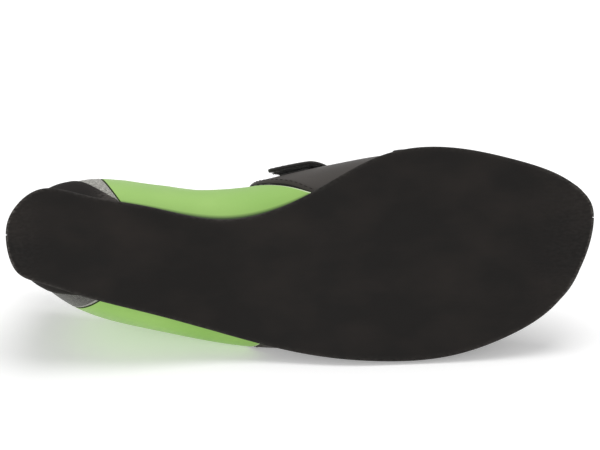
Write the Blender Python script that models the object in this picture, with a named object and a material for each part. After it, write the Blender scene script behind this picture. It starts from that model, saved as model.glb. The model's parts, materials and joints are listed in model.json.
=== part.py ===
"""A left climbing shoe, empty and unbent, lying on its outer side on a floor.

The shoe is modelled upright, as it stands, and the last step lays it down. Upright, +X runs from heel to toe,
+Y to the lateral side (the little toe) and +Z up from the plane that heel and ball stand on. Laid down, +X still
runs to the toe, +Z is up from the floor and the sole faces -Y.

A place on the upper is given by a turn and a rise. The turn goes once round the shoe: 0 at the back of the heel,
half a circle at the toe tip, the lateral side between them, and back along the medial side. The rise goes up the
wall, from 0 at the sole to 1 at the edge of collar and throat.
"""

import math
from typing import NamedTuple

import bmesh
import bpy
import numpy as np
from mathutils import Matrix, Vector

MM = 0.001

# Driving sizes of the last
LENGTH = 265 * MM
BALL_WIDTH = 96 * MM
HEEL_HEIGHT = 72 * MM
INSTEP_HEIGHT = 76 * MM

# Sole
OUTSOLE = 4.5 * MM
OUTSOLE_CHAMFER = 1.0 * MM
ARCH_RISE = 6 * MM
HEEL_LIFT = 2 * MM
TOE_SPRING = 4 * MM
INSOLE = 2.5 * MM

# Walls and layers
SEAM_GAP = 0.3 * MM
UPPER_WALL = 2.2 * MM
COLLAR_PADDING = 1.8 * MM
EDGE_BINDING = 0.8 * MM
FEATHER_INSET = 3.0 * MM
INSOLE_PLAY = 1.4 * MM
INSOLE_BEVEL = 1.6 * MM
RAND = 1.8 * MM
RAND_SKIVE = 0.5
FOREPART_STEP = 2.0 * MM
PATCH = 0.7 * MM
HOOK_TAPE = 0.8 * MM
TONGUE = 4.0 * MM
STRAP = 1.7 * MM
WEBBING = 1.4 * MM

# Closure
STRAP_WIDTH = 28.7 * MM
STRAP_MIDDLE = 131.6 * MM
STRAP_END_LIFT = 0.2 * MM
STRAP_CORNER = 5.5 * MM
STRAP_SLANT = 8 * MM
STRAP_FLARE = 7 * MM
PATCH_SETBACK = 6.0 * MM
HOOK_SETBACK = 7.5 * MM
TONGUE_TUCK = 12 * MM
TONGUE_TUCK_DROP = 1.5 * MM
TONGUE_TIP = 26 * MM
TONGUE_PITCH = math.radians(48)

# Pull loop at the heel
LOOP_WIDTH = 12 * MM
LOOP_BULB = 5.2 * MM
LOOP_HEIGHT = 7.5 * MM
LOOP_FOOT = 0.80
LOOP_COLUMNS = 4


class SoleEdge(NamedTuple):
    """Where the outsole's edge lies at one section, in ball widths from the middle line."""

    medial: float
    lateral: float


class Section(NamedTuple):
    """Where one ring of the upper lies at one section: sides in ball widths, heights in heel or instep heights."""

    medial: float
    lateral: float
    medial_height: float
    lateral_height: float


class Border(NamedTuple):
    """Where the seam behind the forepart crosses one rise on the medial side, as a share of the length."""

    rise: float
    medial: float


class BandTop(NamedTuple):
    """How far up the wall a rubber band reaches at one section, as a rise, on either side."""

    medial: float
    lateral: float


# The outsole's edge, seen from below, at even steps of the turn from the heel end to the toe tip
SOLE_EDGE = (
    SoleEdge(medial=-0.047, lateral=-0.047),
    SoleEdge(medial=-0.181, lateral=0.120),
    SoleEdge(medial=-0.266, lateral=0.184),
    SoleEdge(medial=-0.227, lateral=0.252),
    SoleEdge(medial=-0.176, lateral=0.325),
    SoleEdge(medial=-0.120, lateral=0.418),
    SoleEdge(medial=-0.218, lateral=0.507),
    SoleEdge(medial=-0.411, lateral=0.544),
    SoleEdge(medial=-0.459, lateral=0.522),
    SoleEdge(medial=-0.409, lateral=0.426),
    SoleEdge(medial=-0.339, lateral=0.282),
    SoleEdge(medial=-0.246, lateral=0.070),
    SoleEdge(medial=-0.130, lateral=-0.130),
)

# The tread lies flat under the heel and under the ball, as shares of the length
HEEL_FLAT = (0.06, 0.17)
BALL_FLAT = (0.62, 0.78)

# The widest line of the upper, from its back to its front as shares of the length
BULGE_RUN = (0.010, 0.987)
BULGE = (
    Section(medial=-0.047, lateral=-0.047, medial_height=0.390, lateral_height=0.390),
    Section(medial=-0.180, lateral=0.138, medial_height=0.390, lateral_height=0.390),
    Section(medial=-0.308, lateral=0.314, medial_height=0.430, lateral_height=0.385),
    Section(medial=-0.278, lateral=0.409, medial_height=0.413, lateral_height=0.330),
    Section(medial=-0.275, lateral=0.482, medial_height=0.447, lateral_height=0.290),
    Section(medial=-0.397, lateral=0.479, medial_height=0.355, lateral_height=0.220),
    Section(medial=-0.428, lateral=0.449, medial_height=0.250, lateral_height=0.204),
    Section(medial=-0.365, lateral=0.349, medial_height=0.210, lateral_height=0.198),
    Section(medial=-0.279, lateral=0.172, medial_height=0.197, lateral_height=0.197),
    Section(medial=-0.130, lateral=-0.130, medial_height=0.197, lateral_height=0.197),
)

# The shoulder, where the wall turns in over ankle, instep and toes
SHOULDER_RUN = (0.021, 0.875)
SHOULDER = (
    Section(medial=-0.047, lateral=-0.047, medial_height=0.72, lateral_height=0.72),
    Section(medial=-0.188, lateral=0.104, medial_height=0.72, lateral_height=0.715),
    Section(medial=-0.266, lateral=0.234, medial_height=0.69, lateral_height=0.67),
    Section(medial=-0.271, lateral=0.323, medial_height=0.66, lateral_height=0.61),
    Section(medial=-0.224, lateral=0.344, medial_height=0.75, lateral_height=0.66),
    Section(medial=-0.297, lateral=0.375, medial_height=0.645, lateral_height=0.565),
    Section(medial=-0.354, lateral=0.385, medial_height=0.487, lateral_height=0.434),
    Section(medial=-0.344, lateral=0.307, medial_height=0.421, lateral_height=0.395),
    Section(medial=-0.255, lateral=0.104, medial_height=0.395, lateral_height=0.39),
    Section(medial=-0.115, lateral=-0.115, medial_height=0.395, lateral_height=0.395),
)

# The edge of the opening: collar at the back, throat in front
EDGE_RUN = (0.042, 0.650)
EDGE = (
    Section(medial=-0.036, lateral=-0.036, medial_height=1.00, lateral_height=1.00),
    Section(medial=-0.135, lateral=0.073, medial_height=0.985, lateral_height=0.985),
    Section(medial=-0.214, lateral=0.161, medial_height=0.92, lateral_height=0.90),
    Section(medial=-0.255, lateral=0.250, medial_height=0.86, lateral_height=0.81),
    Section(medial=-0.229, lateral=0.288, medial_height=0.91, lateral_height=0.87),
    Section(medial=-0.151, lateral=0.203, medial_height=0.99, lateral_height=0.97),
    Section(medial=-0.120, lateral=0.109, medial_height=0.888, lateral_height=0.875),
    Section(medial=-0.130, lateral=0.047, medial_height=0.77, lateral_height=0.763),
    Section(medial=-0.109, lateral=0.005, medial_height=0.69, lateral_height=0.688),
    Section(medial=-0.052, lateral=-0.052, medial_height=0.67, lateral_height=0.67),
)

# The low ring is set between the sole's edge and the widest line: this share of the way out, and of the way up
LOW_RING_OUT = 0.62
LOW_RING_UP = 0.36

# Rises at which the five rings lie: feather, low, bulge, shoulder, edge
RING_RISES = np.array([0.0, 0.10, 0.25, 0.58, 1.0])

# Rises at which the wall has its rows. The binding steps out between the last two rows below the edge.
WALL_RISES = (0.0, 0.045, 0.10, 0.17, 0.25, 0.34, 0.43, 0.52, 0.62, 0.72, 0.82, 0.91, 0.93, 1.0)
BINDING_RISE = 0.93

# On the medial side the forepart stands a step proud of the quarter behind their seam. The step rises over this
# share of the length, settles again between two shares, and fades out towards the sole and the throat.
FRONT_SEAM = (
    Border(rise=0.00, medial=0.536),
    Border(rise=0.10, medial=0.493),
    Border(rise=0.20, medial=0.450),
    Border(rise=0.30, medial=0.421),
    Border(rise=0.50, medial=0.407),
    Border(rise=0.75, medial=0.399),
    Border(rise=1.00, medial=0.396),
)
STEP_RAMP = 0.012
STEP_SETTLES = (0.45, 0.60)
STEP_FOOT = (0.02, 0.14)
STEP_TOP = (0.70, 0.93)

# The toe rand runs round the forefoot between these turns, as shares of the length on the lateral and medial side
TOE_RAND_FROM = 0.430
TOE_RAND_TO = 0.660
TOE_RAND_TOP = (
    BandTop(medial=0.04, lateral=0.04),
    BandTop(medial=0.04, lateral=0.04),
    BandTop(medial=0.04, lateral=0.04),
    BandTop(medial=0.04, lateral=0.04),
    BandTop(medial=0.04, lateral=0.04),
    BandTop(medial=0.23, lateral=0.27),
    BandTop(medial=0.36, lateral=0.34),
    BandTop(medial=0.42, lateral=0.40),
    BandTop(medial=0.50, lateral=0.47),
    BandTop(medial=0.52, lateral=0.52),
)

# The heel rand runs round the heel, and reaches highest at its back
HEEL_RAND_LATERAL_END = 0.160
HEEL_RAND_MEDIAL_END = 0.190
HEEL_RAND_TOP = (
    BandTop(medial=0.500, lateral=0.500),
    BandTop(medial=0.410, lateral=0.250),
    BandTop(medial=0.150, lateral=0.045),
    BandTop(medial=0.000, lateral=0.020),
    BandTop(medial=0.030, lateral=0.030),
    BandTop(medial=0.030, lateral=0.030),
    BandTop(medial=0.030, lateral=0.030),
    BandTop(medial=0.030, lateral=0.030),
    BandTop(medial=0.030, lateral=0.030),
    BandTop(medial=0.030, lateral=0.030),
)

# Over the instep a way runs from -1 at the sole on the medial side to 1 on the lateral. The throat lies between
# this much either side of 0. The medial wall is this long from sole to throat, where the strap's end lies on it.
THROAT_WAY = 0.2
MEDIAL_GIRTH = 74 * MM
STRAP_END_RISE = 0.275
STRAP_SEWN_RISE = 0.66

# The strap's back edge flares towards the heel at the free end, over this much of the way
FLARE_WAY = 0.16

# Pile patch and hooks reach over the strap's width up to this share, and between these rises. In front of them the
# strap comes down to the wall.
STRAP_FRONT_REST = 0.68
PATCH_RISES = (0.305, 0.84)
HOOK_RISES = (0.325, 0.72)

# Places along the free tip of the tongue: its share of the tip's length, then shares of the tongue's width and bulk
TONGUE_TIP_SHAPE = (
    (0.10, 0.92, 1.0),
    (0.20, 0.86, 1.0),
    (0.32, 0.82, 1.0),
    (0.45, 0.80, 1.0),
    (0.66, 0.79, 1.0),
    (0.82, 0.74, 1.0),
    (0.93, 0.64, 0.9),
    (1.00, 0.46, 0.6),
)

# How finely the pieces are cut into facets
WALL_RIBS = 84
SOLE_RIBS = 46
SOLE_STRIPS = 6
STRAP_COLUMNS = (0.0, 0.04, 0.12, 0.3, 0.5, 0.68, 0.79, 0.90, 1.0)
BRIDGE_STEPS = 5


class RoundSpline:
    """A smooth closed curve of one value round the shoe, through values at even steps of the turn."""

    def __init__(self, medial, lateral):
        knots = np.array(list(lateral) + list(medial)[-2:0:-1], float)
        count = len(knots)
        step = 2 * math.pi / count
        system = 4 * np.eye(count) + np.roll(np.eye(count), 1, 0) + np.roll(np.eye(count), -1, 0)
        second = np.roll(knots, 1) - 2 * knots + np.roll(knots, -1)
        self.knots = knots
        self.step = step
        self.bends = np.linalg.solve(system, 6 * second / step**2)

    def __call__(self, turn):
        place = (turn % (2 * math.pi)) / self.step
        low = int(place) % len(self.knots)
        high = (low + 1) % len(self.knots)
        b = place - int(place)
        a = 1 - b
        curve = (a**3 - a) * self.bends[low] + (b**3 - b) * self.bends[high]
        return a * self.knots[low] + b * self.knots[high] + curve * self.step**2 / 6


def spline_shares(knots, place):
    """The share of each knot's value in a natural cubic spline at a place among the knots."""
    count = len(knots)
    gaps = np.diff(knots)
    system = np.eye(count)
    right = np.zeros((count, count))
    for i in range(1, count - 1):
        system[i, i - 1 : i + 2] = gaps[i - 1], 2 * (gaps[i - 1] + gaps[i]), gaps[i]
        right[i, i - 1 : i + 2] = 6 / gaps[i - 1], -6 / gaps[i - 1] - 6 / gaps[i], 6 / gaps[i]
    bends = np.linalg.solve(system, right)
    low = min(max(int(np.searchsorted(knots, place, side="right")) - 1, 0), count - 2)
    b = (place - knots[low]) / gaps[low]
    a = 1 - b
    shares = a * np.eye(count)[low] + b * np.eye(count)[low + 1]
    return shares + ((a**3 - a) * bends[low] + (b**3 - b) * bends[low + 1]) * gaps[low] ** 2 / 6


def smooth_step(low, high, value):
    """0 below low, 1 above high and a soft ramp between them."""
    t = min(max((value - low) / (high - low), 0.0), 1.0)
    return t * t * (3 - 2 * t)


def along_share(turn):
    """How far along a ring's run a turn lies, from 0 at the heel to 1 at the toe."""
    return (1 - math.cos(turn)) / 2


def turn_of_share(share, medial=False):
    """The turn that lies this share along a ring's run, on the lateral or the medial side."""
    turn = math.acos(1 - 2 * share)
    return 2 * math.pi - turn if medial else turn


sole_side = RoundSpline([e.medial for e in SOLE_EDGE], [e.lateral for e in SOLE_EDGE])


def sole_edge(turn, inset=0.0):
    """The plan of the outsole's edge at a turn, moved in from the edge by an inset."""
    step = 1e-3

    def plan(t):
        return np.array([LENGTH * along_share(t), BALL_WIDTH * sole_side(t)])

    ahead = plan(turn + step) - plan(turn - step)
    outward = np.array([-ahead[1], ahead[0]]) / np.hypot(*ahead)
    return plan(turn) - inset * outward


def tread_height(x):
    """Height of the outsole's underside: flat under heel and ball, arched between, sprung at the toe."""
    share = x / LENGTH
    heel_start, heel_end = HEEL_FLAT
    ball_start, ball_end = BALL_FLAT
    if share < heel_start:
        return HEEL_LIFT * ((heel_start - share) / heel_start) ** 2
    if share > ball_end:
        return TOE_SPRING * ((share - ball_end) / (1 - ball_end)) ** 2
    if heel_end < share < ball_start:
        waist = (share - heel_end) / (ball_start - heel_end)
        return ARCH_RISE * (1 - math.cos(2 * math.pi * waist)) / 2
    return 0.0


def sole_top(x):
    """Height of the outsole's upper face."""
    return tread_height(x) + OUTSOLE


class Ring:
    """One closed line round the upper, at one level of its wall."""

    def __init__(self, run, sections):
        self.back, self.front = run
        self.side = RoundSpline([s.medial for s in sections], [s.lateral for s in sections])
        self.height = RoundSpline([s.medial_height for s in sections], [s.lateral_height for s in sections])

    def at(self, turn):
        share = along_share(turn)
        x = LENGTH * (self.back + (self.front - self.back) * share)
        unit = HEEL_HEIGHT + (INSTEP_HEIGHT - HEEL_HEIGHT) * smooth_step(0.2, 0.4, share)
        return np.array([x, BALL_WIDTH * self.side(turn), unit * self.height(turn)])


bulge_ring = Ring(BULGE_RUN, BULGE)
shoulder_ring = Ring(SHOULDER_RUN, SHOULDER)
edge_ring = Ring(EDGE_RUN, EDGE)


def skin(turn, rise):
    """A point of the upper's outer face."""
    plan = sole_edge(turn, FEATHER_INSET)
    feather = np.array([plan[0], plan[1], sole_top(plan[0]) + SEAM_GAP])
    bulge = bulge_ring.at(turn)
    low = feather + (bulge - feather) * np.array([LOW_RING_OUT, LOW_RING_OUT, LOW_RING_UP])
    rings = np.array([feather, low, bulge, shoulder_ring.at(turn), edge_ring.at(turn)])
    return spline_shares(RING_RISES, rise) @ rings


def skin_normal(turn, rise):
    """The outward direction of the upper's outer face."""
    step = 1e-3
    ahead = skin(turn + step, rise) - skin(turn - step, rise)
    up = skin(turn, min(rise + step, 1.0)) - skin(turn, max(rise - step, 0.0))
    normal = np.cross(up, ahead)
    return normal / np.linalg.norm(normal)


def above_sole(point):
    """The point, lifted where needed so that it clears the outsole by the seam gap."""
    return np.array([point[0], point[1], max(point[2], sole_top(point[0]) + SEAM_GAP)])


def forepart_step(x, rise):
    """How far the forepart stands proud on the medial side, this far along the shoe and up its wall."""
    seam = spline_shares(np.array([b.rise for b in FRONT_SEAM]), rise) @ np.array([b.medial for b in FRONT_SEAM])
    share = x / LENGTH
    along = smooth_step(seam - STEP_RAMP / 2, seam + STEP_RAMP / 2, share) * (1 - smooth_step(*STEP_SETTLES, share))
    return FOREPART_STEP * along * smooth_step(*STEP_FOOT, rise) * (1 - smooth_step(*STEP_TOP, rise))


def layer(turn, rise, out):
    """A point this far out from the upper's outer face, or inside it where out is negative."""
    point = skin(turn, rise)
    step = forepart_step(point[0], rise) if math.sin(turn) < 0 else 0.0
    return above_sole(point + out * skin_normal(turn, rise) - np.array([0, step, 0]))


def turn_at(x, rise, medial):
    """The turn at which the wall, at one rise, stands this far along the shoe."""
    low, high = 0.0, math.pi
    for _ in range(40):
        middle = (low + high) / 2
        if skin(-middle if medial else middle, rise)[0] < x:
            low = middle
        else:
            high = middle
    return 2 * math.pi - low if medial else low


def even_turns(count):
    """Turns that cut the outsole's edge into lengths of about the same size."""
    fine = np.linspace(0, 2 * math.pi, 721)
    plans = np.array([sole_edge(t) for t in fine])
    lengths = np.concatenate([[0], np.cumsum(np.hypot(*np.diff(plans, axis=0).T))])
    return list(np.interp(np.linspace(0, lengths[-1], count + 1)[:-1], lengths, fine))


def loft(name, rings, closed=False):
    """A solid through rings of as many points each: capped at both ends, or closed round on itself."""
    mesh = bmesh.new()
    rows = [[mesh.verts.new(Vector(point)) for point in ring] for ring in rings]
    pairs = list(zip(rows, rows[1:]))
    if closed:
        pairs.append((rows[-1], rows[0]))
    for first, second in pairs:
        for i in range(len(first)):
            j = (i + 1) % len(first)
            mesh.faces.new((first[i], first[j], second[j], second[i]))
    if not closed:
        half = len(rows[0]) // 2
        for row in (rows[0], rows[-1]):
            for i in range(half - 1):
                mesh.faces.new((row[i], row[i + 1], row[-2 - i], row[-1 - i]))
    bmesh.ops.triangulate(mesh, faces=mesh.faces[:], quad_method="SHORT_EDGE")
    bmesh.ops.recalc_face_normals(mesh, faces=mesh.faces[:])
    data = bpy.data.meshes.new(name)
    mesh.to_mesh(data)
    mesh.free()
    data.shade_smooth()
    data.set_sharp_from_angle(angle=math.radians(40))
    piece = bpy.data.objects.new(name, data)
    bpy.context.scene.collection.children["climbing_shoe"].objects.link(piece)
    return piece


def make_outsole():
    """The one-piece rubber sole, chamfered all round its tread."""
    rings = []
    for turn in sole_rib_turns():
        rings.append(plate_ring(turn, OUTSOLE_CHAMFER, 0.0, tread_height, OUTSOLE, OUTSOLE_CHAMFER))
    return loft("outsole", rings)


def make_insole():
    """The footbed, inside the upper on top of the outsole."""
    inset = FEATHER_INSET + UPPER_WALL + INSOLE_PLAY
    rings = []
    for turn in sole_rib_turns():
        rings.append(plate_ring(turn, inset, inset + INSOLE_BEVEL, lambda x: sole_top(x) + SEAM_GAP, INSOLE))
    return loft("insole", rings)


def sole_rib_turns():
    """Turns of the sole's cross sections, from the heel end to the toe tip."""
    ends = 0.03
    half = np.linspace(0, 1, SOLE_RIBS)
    eased = math.pi * (half - 0.1 * np.sin(2 * math.pi * half))
    return [ends + (math.pi - 2 * ends) * t / math.pi for t in eased]


def plate_ring(turn, under_inset, over_inset, underside, thickness, chamfer=0.0):
    """One cross section of a plate that follows the outsole's outline, each face at its own inset from it.

    The underside comes first, then the upper face. With a chamfer, the side stands straight above that height.
    """
    lateral, medial = sole_edge(turn, over_inset), sole_edge(-turn, over_inset)
    low_lateral, low_medial = sole_edge(turn, under_inset), sole_edge(-turn, under_inset)
    strips = np.linspace(0, 1, SOLE_STRIPS + 1)
    under = [low_medial + (low_lateral - low_medial) * t for t in strips]
    over = [medial + (lateral - medial) * t for t in strips]
    ring = [(x, y, underside(x)) for x, y in under]
    if chamfer:
        ring.append((*lateral, underside(lateral[0]) + chamfer))
    ring += [(x, y, underside(x) + thickness) for x, y in reversed(over)]
    if chamfer:
        ring.append((*medial, underside(medial[0]) + chamfer))
    return ring


def wall_depth(turn, rise):
    """Thickness of the upper: one wall all over, padded round the collar."""
    behind_throat = 1 - smooth_step(0.36, 0.52, along_share(turn))
    return UPPER_WALL + COLLAR_PADDING * behind_throat * smooth_step(0.62, 0.86, rise)


def make_upper():
    """The hollow upper: open at collar and throat, and underneath, where the outsole closes it."""
    rings = []
    for turn in even_turns(WALL_RIBS):
        outer = [layer(turn, r, EDGE_BINDING if r >= BINDING_RISE else 0.0) for r in WALL_RISES]
        inner = [layer(turn, r, -wall_depth(turn, r)) for r in WALL_RISES]
        rings.append(outer + inner[::-1])
    return loft("upper", rings, closed=True)


def make_rand(name, start, end, tops):
    """A rubber band on the upper from the sole to its top line, between two turns, skived thin along that line."""
    top = RoundSpline([t.medial for t in tops], [t.lateral for t in tops])
    inside = [t for t in unwound_turns() if start < t < end]
    rings = []
    for turn in [start, *inside, end]:
        inner, outer = [], []
        for share in np.linspace(0, 1, 7):
            rise = top(turn) * share
            thickness = RAND * (1 - (1 - RAND_SKIVE) * smooth_step(0.5, 1.0, share))
            inner.append(layer(turn, rise, SEAM_GAP))
            outer.append(layer(turn, rise, SEAM_GAP + thickness))
        rings.append(outer + inner[::-1])
    return loft(name, rings)


def unwound_turns():
    """The turns of the upper's ribs, from one circle before the heel to one after it."""
    turns = even_turns(WALL_RIBS)
    return [t - 2 * math.pi for t in turns] + turns


def across_instep(x, way, out):
    """A point over the instep at one x: way goes from -1 at the sole on the medial side to 1 on the lateral.

    Between the two edges of the throat the line bridges the gap, in a curve that leaves each edge as the wall does.
    """
    if abs(way) >= THROAT_WAY:
        rise = (1 - abs(way)) / (1 - THROAT_WAY)
        return layer(turn_at(x, rise, way < 0), rise, out)
    edges, slopes = [], []
    for medial in (True, False):
        turn = turn_at(x, 1.0, medial)
        below = layer(turn_at(x, 0.95, medial), 0.95, out)
        edges.append(layer(turn, 1.0, out))
        slopes.append((edges[-1] - below) / np.linalg.norm(edges[-1] - below))
    span = np.linalg.norm(edges[1] - edges[0])
    t = (way + THROAT_WAY) / (2 * THROAT_WAY)
    return (
        (2 * t**3 - 3 * t**2 + 1) * edges[0]
        + (t**3 - 2 * t**2 + t) * span * slopes[0]
        + (3 * t**2 - 2 * t**3) * edges[1]
        - (t**3 - t**2) * span * slopes[1]
    )


def make_tape(name, start, end, low_rise, high_rise, lift, thickness):
    """A flat tape on the medial side of the upper, from one x to another and between two rises."""
    rises = [low_rise, *(r for r in WALL_RISES if low_rise + 0.02 < r < high_rise - 0.02), high_rise]
    rings = []
    for x in np.linspace(start, end, 6):
        turns = [turn_at(x, r, True) for r in rises]
        inner = [layer(t, r, lift) for t, r in zip(turns, rises)]
        outer = [layer(t, r, lift + thickness) for t, r in zip(turns, rises)]
        rings.append(outer + inner[::-1])
    return loft(name, rings)


def strap_x(share, way=-1.0):
    """How far along the shoe the strap lies at this share of its width, from its flared back edge."""
    free_end = -1 + (1 - THROAT_WAY) * STRAP_END_RISE
    narrower = STRAP_FLARE * (1 - share) * smooth_step(free_end, free_end + FLARE_WAY, way)
    return STRAP_MIDDLE + (share - 0.5) * STRAP_WIDTH + narrower


def make_loop_patch():
    """The pile patch on the medial side, that the hooks hold."""
    start, end = strap_x(0) + PATCH_SETBACK, strap_x(STRAP_FRONT_REST)
    return make_tape("loop_patch", start, end, *PATCH_RISES, SEAM_GAP, PATCH)


def make_hook_tape():
    """The tape of hooks under the free end of the strap."""
    start, end, lift = strap_x(0) + HOOK_SETBACK, strap_x(STRAP_FRONT_REST), PATCH + 2 * SEAM_GAP
    return make_tape("hook_tape", start, end, *HOOK_RISES, lift, HOOK_TAPE)


def end_setback(share):
    """How far the strap's end stands back at this share of its width, as a rise: cut aslant, with round corners."""
    from_side = min(share, 1 - share) * STRAP_WIDTH
    cut = max(STRAP_CORNER - from_side, 0.0)
    corner = STRAP_CORNER - math.sqrt(STRAP_CORNER**2 - cut**2)
    return (corner + STRAP_SLANT * share**2) / MEDIAL_GIRTH


def make_strap():
    """The hook-and-loop strap: sewn down on the lateral side, over the tongue, its free end on the medial side."""
    free_end = -1 + (1 - THROAT_WAY) * STRAP_END_RISE
    sewn_end = 1 - (1 - THROAT_WAY) * STRAP_SEWN_RISE
    places = [*np.linspace(0, 1, 10), *np.linspace(1, 2, BRIDGE_STEPS + 3)[1:], *np.linspace(2, 3, 6)[1:]]
    rings = []
    for place in places:
        inner, outer = [], []
        for share in STRAP_COLUMNS:
            start = free_end + (1 - THROAT_WAY) * end_setback(share)
            way = float(np.interp(place, (0, 1, 2, 3), (start, -THROAT_WAY, THROAT_WAY, sewn_end)))
            over_patch = (PATCH + HOOK_TAPE + 2 * SEAM_GAP) * smooth_step(-0.1, 0.3, -way)
            over_patch *= 1 - smooth_step(STRAP_FRONT_REST, 1.0, share)
            over_binding = EDGE_BINDING * (1 - smooth_step(0.30, 0.40, abs(way)))
            lift = SEAM_GAP + max(over_patch, over_binding)
            lift += STRAP_END_LIFT * smooth_step(0.55, -free_end, -way) * (1 - share) ** 2
            inner.append(across_instep(strap_x(share, way), way, lift))
            outer.append(across_instep(strap_x(share, way), way, lift + STRAP))
        rings.append(inner + outer[::-1])
    return loft("strap", rings)


def make_tongue():
    """The padded tongue under the throat, from its tuck below the vamp to its tip above the collar."""
    stations = np.linspace(0.625, 0.410, 9) * LENGTH
    rings = []
    for x in stations:
        tuck = 0.05 + 0.20 * smooth_step(0.41 * LENGTH, 0.55 * LENGTH, x)
        ways = np.linspace(-0.2 - 0.8 * tuck, 0.2 + 0.8 * tuck, 13)
        top = [across_instep(x, w, -UPPER_WALL - SEAM_GAP) for w in ways]
        under = [across_instep(x, w, -UPPER_WALL - SEAM_GAP - TONGUE) for w in ways]
        rings.append(np.array(top + under[::-1]))
    front, back = rings[0], rings[-1]
    toe_way = (front - rings[1]).mean(0)
    toe_way *= TONGUE_TUCK / np.linalg.norm(toe_way)
    tucked = [front + (toe_way - np.array([0, 0, TONGUE_TUCK_DROP])) * share for share in (1.0, 0.5)]
    top, under = back[: len(back) // 2], back[len(back) // 2 :][::-1]
    arch = (top + under) / 2 - back.mean(0)
    half = (top - under) / 2
    tip = []
    place, reached = back.mean(0), 0.0
    for share, width, bulk in TONGUE_TIP_SHAPE:
        pitch = TONGUE_PITCH * smooth_step(0.0, 0.45, share)
        place = place + TONGUE_TIP * (share - reached) * np.array([-math.cos(pitch), 0, math.sin(pitch)])
        reached = share
        bow = arch * np.array([1, width, 1 - 0.85 * smooth_step(0.0, 0.6, share)])
        local = np.concatenate([bow + half * bulk, (bow - half * bulk)[::-1]])
        tip.append(place + np.array([local[:, 2] * math.sin(pitch), local[:, 1], local[:, 2] * math.cos(pitch)]).T)
    return loft("tongue", [*tucked, *rings, *tip])


def make_pull_loop():
    """The webbing loop at the back of the collar: a leg sewn on either face and a bulb for a finger above."""
    near = np.linspace(-0.5, 0.5, 41)
    sides = np.array([edge_ring.at(t)[1] for t in near])
    middle = edge_ring.at(0.0)[1]
    columns = []
    for share in np.linspace(-0.5, 0.5, LOOP_COLUMNS + 1):
        turn = float(np.interp(middle + share * LOOP_WIDTH, sides, near))
        line = [layer(turn, r, SEAM_GAP) for r in (LOOP_FOOT, 0.86, 0.905)]
        line += [layer(turn, r, SEAM_GAP + EDGE_BINDING) for r in (0.925, 0.96, 1.0)]
        inside = [layer(turn, r, -wall_depth(turn, r) - SEAM_GAP) for r in (1.0, 0.94, 0.88, LOOP_FOOT)]
        foot = (line[-1] + inside[0]) / 2
        half_neck = (inside[0][0] - line[-1][0]) / 2
        lean = math.acos(half_neck / LOOP_BULB)
        centre = foot + np.array([0, 0, LOOP_HEIGHT * math.sin(lean) + SEAM_GAP])
        for angle in np.linspace(math.pi + lean, -lean, 13):
            line.append(centre + np.array([LOOP_BULB * math.cos(angle), 0, LOOP_HEIGHT * math.sin(angle)]))
        columns.append(np.array(line + inside))
    rings = []
    for i in range(len(columns[0])):
        near_wall, away = [], []
        for line in columns:
            way = line[min(i + 1, len(line) - 1)] - line[max(i - 1, 0)]
            normal = np.array([-way[2], 0, way[0]]) / math.hypot(way[0], way[2])
            near_wall.append(line[i])
            away.append(line[i] + normal * WEBBING)
        rings.append(near_wall + away[::-1])
    return loft("pull_loop", rings)


def corners(pieces):
    """Every corner of the pieces, in metres."""
    found = []
    for piece in pieces:
        data = np.empty(3 * len(piece.data.vertices))
        piece.data.vertices.foreach_get("co", data)
        found.append(data.reshape(-1, 3))
    return found


def centre_of_bulk(pieces):
    """The centre of all the pieces' volume."""
    volume, moment = 0.0, np.zeros(3)
    for piece, points in zip(pieces, corners(pieces)):
        triangles = np.array([points[list(face.vertices)] for face in piece.data.polygons])
        shares = np.linalg.det(triangles) / 6
        volume += shares.sum()
        moment += (shares[:, None] * triangles.sum(1) / 4).sum(0)
    return moment / volume


def resting_plane(pieces):
    """The plane that the shoe rests on when it lies on its lateral side: a face of its hull, as a normal."""
    middle = centre_of_bulk(pieces)
    hull = bmesh.new()
    for point in np.concatenate(corners(pieces)):
        hull.verts.new(point)
    made = bmesh.ops.convex_hull(hull, input=hull.verts[:])
    faces = [item for item in made["geom"] if isinstance(item, bmesh.types.BMFace)]
    best = None
    for face in faces:
        normal = np.array(face.normal)
        point = np.array(face.verts[0].co)
        distance = float(normal @ (point - middle))
        if distance < 0:
            normal, distance = -normal, -distance
        if normal[1] > 0.7 and (best is None or distance < best[0]):
            best = (distance, normal)
    hull.free()
    return best[1]


def lay_down(pieces):
    """Rests the shoe on its lateral side, toe to +X, its lowest point on the floor and its box's middle at 0."""
    up = -resting_plane(pieces)
    ahead = np.array([1.0, 0, 0]) - up[0] * up
    ahead /= np.linalg.norm(ahead)
    turned = np.array([ahead, np.cross(up, ahead), up])
    laid = np.concatenate([points @ turned.T for points in corners(pieces)])
    low, high = laid.min(0), laid.max(0)
    shift = -np.array([(low[0] + high[0]) / 2, (low[1] + high[1]) / 2, low[2]])
    placement = Matrix.LocRotScale(None, Matrix(turned.tolist()), None)
    placement.translation = shift
    for piece in pieces:
        piece.data.transform(placement)


class Finish(NamedTuple):
    """The plain finish of one piece."""

    colour: tuple
    roughness: float


FINISHES = {
    "outsole": Finish((0.020, 0.018, 0.017), 0.75),
    "insole": Finish((0.25, 0.25, 0.26), 0.9),
    "upper": Finish((0.35, 0.62, 0.15), 0.55),
    "toe_rand": Finish((0.035, 0.033, 0.031), 0.6),
    "heel_rand": Finish((0.035, 0.033, 0.031), 0.6),
    "loop_patch": Finish((0.03, 0.03, 0.03), 0.95),
    "hook_tape": Finish((0.02, 0.02, 0.022), 0.7),
    "strap": Finish((0.02, 0.02, 0.022), 0.8),
    "tongue": Finish((0.12, 0.12, 0.13), 0.9),
    "pull_loop": Finish((0.03, 0.03, 0.03), 0.8),
}


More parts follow.
